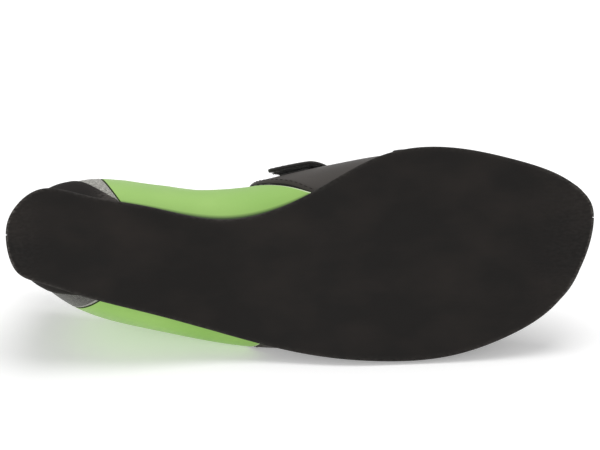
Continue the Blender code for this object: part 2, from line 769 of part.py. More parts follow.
def paint(piece):
    """Gives a piece its own material."""
    finish = FINISHES[piece.name]
    material = bpy.data.materials.new(piece.name)
    material.use_nodes = True
    shader = material.node_tree.nodes["Principled BSDF"]
    shader.inputs["Base Color"].default_value = (*finish.colour, 1)
    shader.inputs["Roughness"].default_value = finish.roughness
    shader.inputs["Metallic"].default_value = 0
    material.diffuse_color = (*finish.colour, 1)
    piece.data.materials.append(material)


def main():
    for old in list(bpy.data.objects):
        bpy.data.objects.remove(old)
    shoe = bpy.data.collections.new("climbing_shoe")
    bpy.context.scene.collection.children.link(shoe)
    pieces = [
        make_outsole(),
        make_insole(),
        make_upper(),
        make_rand(
            "toe_rand",
            turn_of_share(TOE_RAND_FROM),
            turn_of_share(TOE_RAND_TO, medial=True),
            TOE_RAND_TOP,
        ),
        make_rand(
            "heel_rand",
            turn_of_share(HEEL_RAND_MEDIAL_END, medial=True) - 2 * math.pi,
            turn_of_share(HEEL_RAND_LATERAL_END),
            HEEL_RAND_TOP,
        ),
        make_loop_patch(),
        make_hook_tape(),
        make_strap(),
        make_tongue(),
        make_pull_loop(),
    ]
    lay_down(pieces)
    for piece in pieces:
        paint(piece)


main()
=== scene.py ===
"""The looks of a left climbing shoe, empty, lying on its outer side on a pale floor.

The shoe is shaped upright, as it stands, and each piece is laid down when its mesh is made. Upright, +X
runs from heel to toe, +Y to the lateral side and +Z up from the ground. A place on the upper is a turn
round the shoe and a rise up its wall: turn 0 is the back of the heel and half a circle the toe tip, by way
of the lateral side, and the rise goes from 0 at the sole to 1 at the edge of collar and throat.
"""

import json
import logging
import math
from dataclasses import dataclass
from enum import Enum
from typing import Any, Callable, NamedTuple, Sequence

import bmesh
import bpy
import numpy as np
from mathutils import Matrix, Vector

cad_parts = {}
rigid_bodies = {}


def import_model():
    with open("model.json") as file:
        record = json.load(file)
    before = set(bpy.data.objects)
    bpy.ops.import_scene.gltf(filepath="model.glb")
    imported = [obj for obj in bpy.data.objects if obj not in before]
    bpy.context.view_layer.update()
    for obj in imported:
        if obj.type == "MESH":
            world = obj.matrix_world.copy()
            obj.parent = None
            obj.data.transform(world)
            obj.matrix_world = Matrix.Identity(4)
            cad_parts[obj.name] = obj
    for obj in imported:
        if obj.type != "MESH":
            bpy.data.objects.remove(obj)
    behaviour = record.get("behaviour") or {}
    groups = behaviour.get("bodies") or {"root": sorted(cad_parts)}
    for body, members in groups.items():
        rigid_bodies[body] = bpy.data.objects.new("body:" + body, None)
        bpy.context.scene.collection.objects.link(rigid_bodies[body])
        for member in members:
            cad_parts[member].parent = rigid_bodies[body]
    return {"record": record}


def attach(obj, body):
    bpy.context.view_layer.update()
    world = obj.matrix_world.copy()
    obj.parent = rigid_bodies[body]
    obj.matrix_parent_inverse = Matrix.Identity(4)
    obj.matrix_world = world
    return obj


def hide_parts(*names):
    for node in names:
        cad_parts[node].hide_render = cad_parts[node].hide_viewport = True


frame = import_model()

log = logging.getLogger("climbing_shoe")
Array = np.ndarray
MM = 0.001

# Driving sizes of the last and the sole
LENGTH = 265 * MM
BALL_WIDTH = 96 * MM
HEEL_HEIGHT = 72 * MM
INSTEP_HEIGHT = 76 * MM
OUTSOLE = 4.5 * MM
OUTSOLE_ROUND = 1.0 * MM
ARCH_RISE = 6 * MM
HEEL_LIFT = 2 * MM
TOE_SPRING = 4 * MM
INSOLE = 2.5 * MM
HEEL_FLAT = (0.06, 0.17)
BALL_FLAT = (0.62, 0.78)

# Walls and layers
SEAM_GAP = 0.3 * MM
UPPER_WALL = 2.2 * MM
COLLAR_PADDING = 1.8 * MM
EDGE_BINDING = 0.8 * MM
BINDING_RISE = 0.93
FEATHER_INSET = 3.0 * MM
RAND = 1.8 * MM
RAND_SKIVE = 0.5
FOREPART_STEP = 2.0 * MM
PATCH = 0.7 * MM
HOOK_TAPE = 0.8 * MM
TONGUE = 4.0 * MM
STRAP = 1.7 * MM
WEBBING = 1.4 * MM

# Closure, tongue and pull loop
STRAP_WIDTH = 28.7 * MM
STRAP_MIDDLE = 131.6 * MM
STRAP_END_LIFT = 0.2 * MM
STRAP_CORNER = 5.5 * MM
STRAP_SLANT = 8 * MM
STRAP_FLARE = 7 * MM
STRAP_FRONT_REST = 0.68
FLARE_WAY = 0.16
PATCH_SETBACK = 6.0 * MM
PATCH_RISES = (0.305, 0.84)
HOOK_RISES = (0.325, 0.72)
TONGUE_TUCK = 12 * MM
TONGUE_TUCK_DROP = 1.5 * MM
TONGUE_TIP = 26 * MM
TONGUE_PITCH = math.radians(48)
LOOP_WIDTH = 12 * MM
LOOP_BULB = 5.2 * MM
LOOP_HEIGHT = 7.5 * MM
LOOP_FOOT = 0.80
THROAT_WAY = 0.2
MEDIAL_GIRTH = 74 * MM
STRAP_END_RISE = 0.275
STRAP_SEWN_RISE = 0.66

# The strap's ends, from -1 at the sole on the medial side to 1 on the lateral, and such a way for each metre
FREE_END = -1 + (1 - THROAT_WAY) * STRAP_END_RISE
SEWN_END = 1 - (1 - THROAT_WAY) * STRAP_SEWN_RISE
PER_WAY = (1 - THROAT_WAY) / MEDIAL_GIRTH

# Where the collar is padded: up to this share along the shoe, and from this rise on
PADDING_SHARES = (0.36, 0.52)
PADDING_RISES = (0.62, 0.86)
# Shares along a ring between which its heights turn from heel heights to instep heights
INSTEP_SHARES = (0.2, 0.4)

# Where the mount on the heel's tread lies in the upright shoe
HEEL_TREAD = np.array([0.115 * LENGTH, 2 * MM, 0.0])


class SoleEdge(NamedTuple):
    """Where the outsole's edge lies at one section, in ball widths from the middle line."""

    medial: float
    lateral: float


class Section(NamedTuple):
    """Where one ring of the upper lies at one section.

    Its sides are in ball widths, and its heights in heel or instep heights.
    """

    medial: float
    lateral: float
    medial_height: float
    lateral_height: float


class BandTop(NamedTuple):
    """How far up the wall a rubber band reaches at one section, as a rise, on either side."""

    medial: float
    lateral: float


SOLE_EDGE = (
    SoleEdge(-0.047, -0.047),
    SoleEdge(-0.181, 0.120),
    SoleEdge(-0.266, 0.184),
    SoleEdge(-0.227, 0.252),
    SoleEdge(-0.176, 0.325),
    SoleEdge(-0.120, 0.418),
    SoleEdge(-0.218, 0.507),
    SoleEdge(-0.411, 0.544),
    SoleEdge(-0.459, 0.522),
    SoleEdge(-0.409, 0.426),
    SoleEdge(-0.339, 0.282),
    SoleEdge(-0.246, 0.070),
    SoleEdge(-0.130, -0.130),
)

BULGE_RUN = (0.010, 0.987)
BULGE = (
    Section(-0.047, -0.047, 0.390, 0.390),
    Section(-0.180, 0.138, 0.390, 0.390),
    Section(-0.308, 0.314, 0.430, 0.385),
    Section(-0.278, 0.409, 0.413, 0.330),
    Section(-0.275, 0.482, 0.447, 0.290),
    Section(-0.397, 0.479, 0.355, 0.220),
    Section(-0.428, 0.449, 0.250, 0.204),
    Section(-0.365, 0.349, 0.210, 0.198),
    Section(-0.279, 0.172, 0.197, 0.197),
    Section(-0.130, -0.130, 0.197, 0.197),
)

SHOULDER_RUN = (0.021, 0.875)
SHOULDER = (
    Section(-0.047, -0.047, 0.72, 0.72),
    Section(-0.188, 0.104, 0.72, 0.715),
    Section(-0.266, 0.234, 0.69, 0.67),
    Section(-0.271, 0.323, 0.66, 0.61),
    Section(-0.224, 0.344, 0.75, 0.66),
    Section(-0.297, 0.375, 0.645, 0.565),
    Section(-0.354, 0.385, 0.487, 0.434),
    Section(-0.344, 0.307, 0.421, 0.395),
    Section(-0.255, 0.104, 0.395, 0.39),
    Section(-0.115, -0.115, 0.395, 0.395),
)

EDGE_RUN = (0.042, 0.650)
EDGE = (
    Section(-0.036, -0.036, 1.00, 1.00),
    Section(-0.135, 0.073, 0.985, 0.985),
    Section(-0.214, 0.161, 0.92, 0.90),
    Section(-0.255, 0.250, 0.86, 0.81),
    Section(-0.229, 0.288, 0.91, 0.87),
    Section(-0.151, 0.203, 0.99, 0.97),
    Section(-0.120, 0.109, 0.888, 0.875),
    Section(-0.130, 0.047, 0.77, 0.763),
    Section(-0.109, 0.005, 0.69, 0.688),
    Section(-0.052, -0.052, 0.67, 0.67),
)

LOW_RING_OUT = 0.62
LOW_RING_UP = 0.36
RING_RISES = np.array([0.0, 0.10, 0.25, 0.58, 1.0])

TOE_RAND_FROM = 0.430
TOE_RAND_TO = 0.660
TOE_RAND_TOP = (
    *[BandTop(0.04, 0.04)] * 5,
    BandTop(0.23, 0.27),
    BandTop(0.36, 0.34),
    BandTop(0.42, 0.40),
    BandTop(0.50, 0.47),
    BandTop(0.52, 0.52),
)

HEEL_RAND_LATERAL_END = 0.160
HEEL_RAND_MEDIAL_END = 0.190
HEEL_RAND_TOP = (
    BandTop(0.500, 0.500),
    BandTop(0.410, 0.250),
    BandTop(0.150, 0.045),
    BandTop(0.000, 0.020),
    *[BandTop(0.030, 0.030)] * 6,
)

# Places along the tongue's free tip: a share of the tip's length, then shares of the tongue's width and bulk
TONGUE_TIP_SHAPE = (
    (0.10, 0.92, 1.0),
    (0.20, 0.86, 1.0),
    (0.32, 0.82, 1.0),
    (0.45, 0.80, 1.0),
    (0.66, 0.79, 1.0),
    (0.82, 0.74, 1.0),
    (0.93, 0.64, 0.9),
    (1.00, 0.46, 0.6),
)


class Border(NamedTuple):
    """Where a seam between two panels crosses one rise, as shares of the length on either side."""

    rise: float
    medial: float
    lateral: float


# The seam between the cloth at the heel and the green quarters, from the sole to the collar
HEEL_SEAM = (
    Border(0.00, 0.2030, 0.1720),
    Border(0.12, 0.1735, 0.1355),
    Border(0.25, 0.1570, 0.1100),
    Border(0.50, 0.1440, 0.1040),
    Border(0.75, 0.1370, 0.1100),
    Border(1.00, 0.1330, 0.1200),
)

# The seam between the green quarters and the black forepart, which stands a step proud on the medial side.
# The step settles again between two shares of the length, and fades out towards the sole and the throat.
FRONT_SEAM = (
    Border(0.00, 0.536, 0.448),
    Border(0.10, 0.493, 0.434),
    Border(0.20, 0.450, 0.421),
    Border(0.30, 0.421, 0.408),
    Border(0.50, 0.407, 0.394),
    Border(0.75, 0.399, 0.387),
    Border(1.00, 0.396, 0.386),
)
STEP_ROUND = 1.6 * MM
STEP_SETTLES = (0.45, 0.60)
STEP_FOOT = (0.02, 0.14)
STEP_TOP = (0.70, 0.93)


class Crease(NamedTuple):
    """A soft trough in the upper, through places on one side, each a share of the length and a rise."""

    medial: bool
    places: tuple
    width: float
    depth: float


CREASES = (
    Crease(True, ((0.22, 0.42), (0.28, 0.52), (0.36, 0.58)), 4.5 * MM, 0.55 * MM),
    Crease(True, ((0.20, 0.62), (0.26, 0.74), (0.33, 0.80)), 4.0 * MM, 0.50 * MM),
    Crease(True, ((0.30, 0.30), (0.37, 0.40)), 5.0 * MM, 0.35 * MM),
    Crease(False, ((0.20, 0.45), (0.28, 0.54), (0.37, 0.56)), 4.5 * MM, 0.50 * MM),
    Crease(False, ((0.18, 0.66), (0.25, 0.76), (0.32, 0.82)), 4.0 * MM, 0.50 * MM),
    Crease(True, ((0.585, 0.70), (0.63, 0.84), (0.64, 0.95)), 3.6 * MM, 0.55 * MM),
    Crease(False, ((0.585, 0.66), (0.63, 0.82), (0.64, 0.95)), 3.6 * MM, 0.55 * MM),
    Crease(True, ((0.645, 0.60), (0.69, 0.74)), 4.2 * MM, 0.40 * MM),
    Crease(False, ((0.650, 0.58), (0.69, 0.72)), 4.2 * MM, 0.40 * MM),
    Crease(True, ((0.045, 0.70), (0.075, 0.80), (0.10, 0.86)), 3.4 * MM, 0.40 * MM),
    Crease(False, ((0.045, 0.70), (0.07, 0.80), (0.09, 0.86)), 3.4 * MM, 0.40 * MM),
)


def smooth_step(low: float, high: float, value: Array) -> Array:
    """A soft ramp.

    Args:
        low: Value below which the ramp is 0.
        high: Value above which the ramp is 1.
        value: Where to read the ramp.

    Returns:
        The ramp's height, from 0 to 1.
    """
    t = np.clip((np.asarray(value, float) - low) / (high - low), 0.0, 1.0)
    return t * t * (3 - 2 * t)


def rounded(distance: Array, radius: float) -> Array:
    """The profile of a rounded edge.

    Args:
        distance: How far in from the edge.
        radius: How far in the rounding reaches.

    Returns:
        The share of the full height, from 0 at the edge to 1 at the radius and beyond.
    """
    t = np.clip(np.asarray(distance, float) / radius, 0.0, 1.0)
    return np.sqrt(np.clip(1 - (1 - t) ** 2, 0.0, 1.0))


def along_share(turn: Array) -> Array:
    """How far along a ring's run a turn lies, from 0 at the heel to 1 at the toe."""
    return (1 - np.cos(turn)) / 2


def turn_of_share(share: float) -> float:
    """The turn on the lateral side that lies this share along a ring's run."""
    return math.acos(1 - 2 * share)


def spline_rows(knots: Array, places: Array) -> Array:
    """The shares of each knot's value in a natural cubic spline.

    Args:
        knots: Rising places of the known values.
        places: Where to read the spline.

    Returns:
        An array with the shape of the places and one more axis, of a share for each knot.
    """
    knots = np.asarray(knots, float)
    places = np.asarray(places, float)
    count = len(knots)
    gaps = np.diff(knots)
    system = np.eye(count)
    right = np.zeros((count, count))
    for i in range(1, count - 1):
        system[i, i - 1 : i + 2] = gaps[i - 1], 2 * (gaps[i - 1] + gaps[i]), gaps[i]
        right[i, i - 1 : i + 2] = 6 / gaps[i - 1], -6 / gaps[i - 1] - 6 / gaps[i], 6 / gaps[i]
    bends = np.linalg.solve(system, right)
    low = np.clip(np.searchsorted(knots, places, side="right") - 1, 0, count - 2)
    b = ((places - knots[low]) / gaps[low])[..., None]
    a = 1 - b
    one = np.eye(count)
    curve = (a**3 - a) * bends[low] + (b**3 - b) * bends[low + 1]
    return a * one[low] + b * one[low + 1] + curve * (gaps[low] ** 2)[..., None] / 6


def refine(rings: Array, count: int) -> Array:
    """Draws a smooth surface through rings of points.

    Args:
        rings: The rings, as an array of ring, point and coordinate.
        count: How many rings to return.

    Returns:
        Evenly spaced rings on the smooth surface.
    """
    steps = np.linalg.norm(np.diff(rings, axis=0), axis=2).mean(1)
    knots = np.concatenate([[0.0], np.cumsum(steps)])
    rows = spline_rows(knots, np.linspace(0, knots[-1], count))
    return np.einsum("rk,kpc->rpc", rows, rings)


class RoundSpline:
    """A smooth closed curve of one value round the shoe, through values at even steps of the turn."""

    def __init__(self, medial: Sequence[float], lateral: Sequence[float]) -> None:
        """Solves the curve.

        Args:
            medial: Values on the medial side, from heel to toe.
            lateral: Values on the lateral side, from heel to toe.
        """
        knots = np.array(list(lateral) + list(medial)[-2:0:-1], float)
        count = len(knots)
        step = 2 * math.pi / count
        system = 4 * np.eye(count) + np.roll(np.eye(count), 1, 0) + np.roll(np.eye(count), -1, 0)
        second = np.roll(knots, 1) - 2 * knots + np.roll(knots, -1)
        self.knots = knots
        self.step = step
        self.bends = np.linalg.solve(system, 6 * second / step**2)

    def __call__(self, turn: Array) -> Array:
        """The curve's value at each turn."""
        place = np.mod(turn, 2 * math.pi) / self.step
        low = np.floor(place).astype(int) % len(self.knots)
        high = (low + 1) % len(self.knots)
        b = place - np.floor(place)
        a = 1 - b
        curve = (a**3 - a) * self.bends[low] + (b**3 - b) * self.bends[high]
        return a * self.knots[low] + b * self.knots[high] + curve * self.step**2 / 6


class Ring:
    """One closed line round the upper, at one level of its wall."""

    def __init__(self, run: tuple, sections: Sequence[Section]) -> None:
        """Solves the ring.

        Args:
            run: Where the ring starts and ends, as shares of the length.
            sections: Its sections from heel to toe.
        """
        self.back, self.front = run
        self.side = RoundSpline([s.medial for s in sections], [s.lateral for s in sections])
        self.height = RoundSpline([s.medial_height for s in sections], [s.lateral_height for s in sections])

    def at(self, turn: Array) -> Array:
        """The ring's points at each turn."""
        share = along_share(turn)
        x = LENGTH * (self.back + (self.front - self.back) * share)
        unit = HEEL_HEIGHT + (INSTEP_HEIGHT - HEEL_HEIGHT) * smooth_step(*INSTEP_SHARES, share)
        return np.stack([x, BALL_WIDTH * self.side(turn), unit * self.height(turn)], -1)


class Last:
    """The upright form of sole and upper, which every piece takes its place from."""

    step = 1e-3
    halvings = 26
    edge_samples = 1441
    crease_samples = 24
    below_edge = 0.95
    crease_reach = 3.5
    crease_rim = 0.35
    crease_rim_place = 1.7
    crease_rim_tightness = 1.6

    def __init__(self) -> None:
        """Solves the rings of the wall and the soft creases in it."""
        self.sole_side = RoundSpline([e.medial for e in SOLE_EDGE], [e.lateral for e in SOLE_EDGE])
        self.bulge = Ring(BULGE_RUN, BULGE)
        self.shoulder = Ring(SHOULDER_RUN, SHOULDER)
        self.edge = Ring(EDGE_RUN, EDGE)
        self.crease_lines = [(c, self.crease_line(c)) for c in CREASES]

    def sole_edge(self, turn: Array, inset: Array = 0.0) -> Array:
        """The plan of the outsole's edge, moved in by an inset.

        Args:
            turn: Where round the shoe.
            inset: How far in from the edge.

        Returns:
            Points of the plan, with X and Y.
        """
        turn = np.asarray(turn, float)

        def plan(t: Array) -> Array:
            """The edge itself at each turn."""
            return np.stack([LENGTH * along_share(t), BALL_WIDTH * self.sole_side(t)], -1)

        ahead = plan(turn + self.step) - plan(turn - self.step)
        outward = np.stack([-ahead[..., 1], ahead[..., 0]], -1)
        outward = outward / np.linalg.norm(outward, axis=-1, keepdims=True)
        return plan(turn) - np.asarray(inset, float)[..., None] * outward

    @staticmethod
    def tread_height(x: Array) -> Array:
        """Height of the outsole's underside: flat under heel and ball, arched between, sprung at the toe."""
        share = np.asarray(x, float) / LENGTH
        heel_start, heel_end = HEEL_FLAT
        ball_start, ball_end = BALL_FLAT
        waist = np.clip((share - heel_end) / (ball_start - heel_end), 0.0, 1.0)
        height = ARCH_RISE * (1 - np.cos(2 * math.pi * waist)) / 2
        height = height + HEEL_LIFT * np.clip((heel_start - share) / heel_start, 0.0, None) ** 2
        return height + TOE_SPRING * np.clip((share - ball_end) / (1 - ball_end), 0.0, None) ** 2

    def sole_top(self, x: Array) -> Array:
        """Height of the outsole's upper face."""
        return self.tread_height(x) + OUTSOLE

    def skin(self, turn: Array, rise: Array) -> Array:
        """Points of the upper's outer face.

        Args:
            turn: Where round the shoe.
            rise: How far up the wall.

        Returns:
            Points with a last axis of X, Y and Z.
        """
        turn, rise = np.broadcast_arrays(np.asarray(turn, float), np.asarray(rise, float))
        plan = self.sole_edge(turn, FEATHER_INSET)
        feather = np.concatenate([plan, (self.sole_top(plan[..., 0]) + SEAM_GAP)[..., None]], -1)
        bulge = self.bulge.at(turn)
        low = feather + (bulge - feather) * np.array([LOW_RING_OUT, LOW_RING_OUT, LOW_RING_UP])
        rings = np.stack([feather, low, bulge, self.shoulder.at(turn), self.edge.at(turn)], -2)
        return np.einsum("...k,...kc->...c", spline_rows(RING_RISES, rise), rings)

    def normal(self, turn: Array, rise: Array) -> Array:
        """The outward direction of the upper's outer face at each place."""
        rise = np.asarray(rise, float)
        ahead = self.skin(turn + self.step, rise) - self.skin(turn - self.step, rise)
        above = self.skin(turn, np.minimum(rise + self.step, 1.0))
        up = above - self.skin(turn, np.maximum(rise - self.step, 0.0))
        normal = np.cross(up, ahead)
        return normal / np.linalg.norm(normal, axis=-1, keepdims=True)

    @staticmethod
    def forepart_step(x: Array, rise: Array) -> Array:
        """How far the forepart stands proud on the medial side.

        Args:
            x: How far along the shoe.
            rise: How far up the wall.

        Returns:
            The step, rounded at the seam.
        """
        seam = spline_rows([b.rise for b in FRONT_SEAM], rise) @ np.array([b.medial for b in FRONT_SEAM])
        along = rounded(x - LENGTH * seam, STEP_ROUND) * (1 - smooth_step(*STEP_SETTLES, x / LENGTH))
        return FOREPART_STEP * along * smooth_step(*STEP_FOOT, rise) * (1 - smooth_step(*STEP_TOP, rise))

    def layer(self, turn: Array, rise: Array, out: Array) -> Array:
        """Points this far out from the upper's outer face, lifted where needed to clear the outsole.

        Args:
            turn: Where round the shoe.
            rise: How far up the wall.
            out: How far out from the face, negative inside it.

        Returns:
            Points with a last axis of X, Y and Z.
        """
        turn, rise, out = np.broadcast_arrays(
            np.asarray(turn, float), np.asarray(rise, float), np.asarray(out, float)
        )
        skin = self.skin(turn, rise)
        points = skin + out[..., None] * self.normal(turn, rise)
        points[..., 1] -= np.where(np.sin(turn) < 0, self.forepart_step(skin[..., 0], rise), 0.0)
        lowest = self.sole_top(points[..., 0]) + SEAM_GAP
        points[..., 2] = np.maximum(points[..., 2], lowest)
        return points

    def crease_line(self, crease: Crease) -> Array:
        """The line of a crease on the skin, as points a few millimetres apart."""
        places = np.array(crease.places)
        ends = np.linspace(0, 1, len(places))
        fine = np.linspace(0, 1, self.crease_samples)
        x = LENGTH * np.interp(fine, ends, places[:, 0])
        rise = np.interp(fine, ends, places[:, 1])
        return self.skin(self.turn_at(x, rise, np.full(len(fine), crease.medial)), rise)

    def creased(self, turn: Array, rise: Array, out: Array) -> Array:
        """Points of a layer of the upper with its soft creases pressed in.

        Args:
            turn: Where round the shoe.
            rise: How far up the wall.
            out: How far out from the face.

        Returns:
            Points with a last axis of X, Y and Z.
        """
        points = self.layer(turn, rise, out)
        flat = points.reshape(-1, 3)
        pressed = np.zeros(len(flat))
        for crease, line in self.crease_lines:
            reach = self.crease_reach * crease.width
            near = np.all((flat > line.min(0) - reach) & (flat < line.max(0) + reach), axis=1)
            if not near.any():
                continue
            away = np.linalg.norm(flat[near][:, None] - line[None], axis=2).min(1) / crease.width
            pressed[near] -= crease.depth * np.exp(-(away**2))
            rim = np.exp(-((away - self.crease_rim_place) ** 2) * self.crease_rim_tightness)
            pressed[near] += self.crease_rim * crease.depth * rim
        pressed = pressed.reshape(points.shape[:-1])
        turn, rise = np.broadcast_arrays(np.asarray(turn, float), np.asarray(rise, float))
        return points + pressed[..., None] * self.normal(turn, rise)

    def turn_at(self, x: Array, rise: Array, medial: Array) -> Array:
        """The turn at which the wall, at one rise, stands this far along the shoe.

        Args:
            x: How far along the shoe.
            rise: How far up the wall.
            medial: Whether it is on the medial side, where turns are negative.

        Returns:
            The turns, from -pi to pi.
        """
        x, rise, medial = np.broadcast_arrays(x, rise, medial)
        sign = np.where(medial, -1.0, 1.0)
        low = np.zeros(x.shape)
        high = np.full(x.shape, math.pi)
        for _ in range(self.halvings):
            middle = (low + high) / 2
            short = self.skin(sign * middle, rise)[..., 0] < x
            low = np.where(short, middle, low)
            high = np.where(short, high, middle)
        return sign * low

    def even_turns(self, count: int) -> Array:
        """Turns that cut the outsole's edge into lengths of about the same size."""
        fine = np.linspace(0, 2 * math.pi, self.edge_samples)
        lengths = np.linalg.norm(np.diff(self.sole_edge(fine), axis=0), axis=1)
        total = np.concatenate([[0.0], np.cumsum(lengths)])
        return np.interp(np.linspace(0, total[-1], count + 1)[:-1], total, fine)

    def across(self, x: Array, way: Array, out: Array) -> Array:
        """Points over the instep. Between the edges of the throat the line bridges the gap.

        Args:
            x: How far along the shoe.
            way: From -1 at the sole on the medial side to 1 on the lateral.
            out: How far out from the upper's outer face.

        Returns:
            Points with a last axis of X, Y and Z.
        """
        x, way, out = (np.array(a) for a in np.broadcast_arrays(x, way, out))
        rise = np.clip((1 - np.abs(way)) / (1 - THROAT_WAY), 0.0, 1.0)
        points = self.layer(self.turn_at(x, rise, way < 0), rise, out)
        open_part = np.abs(way) < THROAT_WAY
        if not open_part.any():
            return points
        x, way, out = x[open_part], way[open_part], out[open_part]
        edges, slopes = [], []
        for medial in (True, False):
            edge = self.layer(self.turn_at(x, 1.0, medial), 1.0, out)
            below = self.layer(self.turn_at(x, self.below_edge, medial), self.below_edge, out)
            slope = edge - below
            edges.append(edge)
            slopes.append(slope / np.linalg.norm(slope, axis=-1, keepdims=True))
        span = np.linalg.norm(edges[1] - edges[0], axis=-1, keepdims=True)
        t = ((way + THROAT_WAY) / (2 * THROAT_WAY))[..., None]
        points[open_part] = (
            (2 * t**3 - 3 * t**2 + 1) * edges[0]
            + (t**3 - 2 * t**2 + t) * span * slopes[0]
            + (3 * t**2 - 2 * t**3) * edges[1]
            - (t**3 - t**2) * span * slopes[1]
        )
        return points

    @staticmethod
    def wall_depth(turn: Array, rise: Array) -> Array:
        """Thickness of the upper: one wall all over, padded round the collar."""
        behind_throat = 1 - smooth_step(*PADDING_SHARES, along_share(turn))
        return UPPER_WALL + COLLAR_PADDING * behind_throat * smooth_step(*PADDING_RISES, rise)


class Placement:
    """Where the upright shoe lies in the frame, read from the two mounts on its tread."""

    def __init__(self, record: dict) -> None:
        """Reads the mounts.

        Args:
            record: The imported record.
        """
        mounts = {m["name"]: m for m in record["mounts"]}
        heel = np.array(mounts["heel_tread"]["pos_m"], float)
        ball = np.array(mounts["ball_tread"]["pos_m"], float)
        up = -np.array(mounts["heel_tread"]["axis"], float)
        up /= np.linalg.norm(up)
        ahead = ball - heel
        ahead -= (ahead @ up) * up
        ahead /= np.linalg.norm(ahead)
        self.turned = np.array([ahead, np.cross(up, ahead), up])
        self.shift = heel - HEEL_TREAD @ self.turned

    def lay(self, points: Array) -> Array:
        """Moves upright points to where they lie."""
        return points @ self.turned + self.shift

    def way(self, direction: Sequence[float]) -> Vector:
        """Turns an upright direction to how it lies."""
        return Vector(np.asarray(direction, float) @ self.turned)


LAST = Last()
PLACEMENT = Placement(frame["record"])


def linear(colour: str) -> tuple:
    """An sRGB hex colour as linear red, green, blue and a full alpha."""
    parts = [int(colour[i : i + 2], 16) / 255 for i in (1, 3, 5)]
    bent = [p / 12.92 if p <= 0.04045 else ((p + 0.055) / 1.055) ** 2.4 for p in parts]
    return (*bent, 1.0)


def add_node(
    tree: bpy.types.NodeTree, kind: str, inputs: dict | None = None, **settings: Any
) -> bpy.types.Node:
    """Adds a node.

    Args:
        tree: The tree that it goes in.
        kind: Its type.
        inputs: For each input, by name or number, a value or the output that feeds it.
        settings: Its other settings.

    Returns:
        The node.
    """
    node = tree.nodes.new(kind)
    for name, value in settings.items():
        setattr(node, name, value)
    for key, value in (inputs or {}).items():
        if isinstance(value, bpy.types.NodeSocket):
            tree.links.new(value, node.inputs[key])
        else:
            node.inputs[key].default_value = value
    return node


@dataclass(frozen=True)
class Finish:
    """What every finish has: a name, its colours and how it throws light."""

    name: str
    colour: str
    second: str
    roughness: float
    specular: float = 0.5
    sheen: float = 0.0

    def start(self) -> tuple:
        """Makes the material with its shader and the place on the piece in millimetres.

        Returns:
            The material, its tree, the shader and the place's output.
        """
        material = bpy.data.materials.new(self.name)
        material.use_nodes = True
        tree = material.node_tree
        shader = tree.nodes["Principled BSDF"]
        shader.inputs["Roughness"].default_value = self.roughness
        shader.inputs["Specular IOR Level"].default_value = self.specular
        shader.inputs["Sheen Weight"].default_value = self.sheen
        material.diffuse_color = linear(self.colour)
        lay = add_node(tree, "ShaderNodeAttribute", attribute_name="lay").outputs["Vector"]
        return material, tree, shader, lay

    def noise(self, tree: bpy.types.NodeTree, lay: Any, pitch: tuple, detail: float = 2.0) -> Any:
        """A noise whose grain has this size in millimetres along each axis of the place.

        Args:
            tree: The material's tree.
            lay: The place in millimetres.
            pitch: The grain's size along each axis.
            detail: How many finer layers it has.

        Returns:
            The noise's output, from 0 to 1.
        """
        scaled = {"Vector": lay, "Scale": tuple(1 / p for p in pitch)}
        scaled = add_node(tree, "ShaderNodeMapping", scaled, vector_type="POINT").outputs[0]
        inputs = {"Vector": scaled, "Scale": 1.0, "Detail": detail}
        return add_node(tree, "ShaderNodeTexNoise", inputs).outputs["Fac"]

    def ramp(self, tree: bpy.types.NodeTree, value: Any, low: float, high: float) -> Any:
        """A value stretched so that low is 0 and high is 1."""
        inputs = {"Value": value, "From Min": low, "From Max": high}
        return add_node(tree, "ShaderNodeMapRange", inputs, clamp=True).outputs["Result"]

    def mix(self, tree: bpy.types.NodeTree, share: Any, first: Any, second: Any) -> Any:
        """A colour between two, each a hex colour or an output."""
        node = add_node(tree, "ShaderNodeMix", {"Factor": share}, data_type="RGBA")
        for number, colour in ((6, first), (7, second)):
            if isinstance(colour, str):
                node.inputs[number].default_value = linear(colour)
            else:
                tree.links.new(colour, node.inputs[number])
        return node.outputs[2]

    def sum_of(self, tree: bpy.types.NodeTree, values: Sequence[Any], weights: Sequence[float]) -> Any:
        """The sum of outputs, each times its weight."""
        total: Any = 0.0
        for value, weight in zip(values, weights):
            total = self.maths(tree, "MULTIPLY_ADD", value, weight, total)
        return total

    def maths(self, tree: bpy.types.NodeTree, operation: str, *values: Any) -> Any:
        """The result of one operation on outputs or numbers."""
        return add_node(tree, "ShaderNodeMath", dict(enumerate(values)), operation=operation).outputs[0]

    def wear_and_painted_light(self, tree: bpy.types.NodeTree) -> Any:
        """The wear and painted light at each place, from 0 to 1: real wear on the rubber, a painted highlight
        at the heel band's ends and painted shade on the panels.
        """
        return add_node(tree, "ShaderNodeAttribute", attribute_name="wear_and_painted_light").outputs["Fac"]

    def relief(self, tree: bpy.types.NodeTree, shader: bpy.types.Node, height: Any, depth: float) -> None:
        """Gives the shader a bump.

        Args:
            tree: The material's tree.
            shader: Its shader.
            height: The height's output, from 0 to 1.
            depth: What a height of 1 is, in metres.
        """
        bump = add_node(tree, "ShaderNodeBump", {"Height": height, "Distance": depth, "Strength": 1.0})
        tree.links.new(bump.outputs[0], shader.inputs["Normal"])


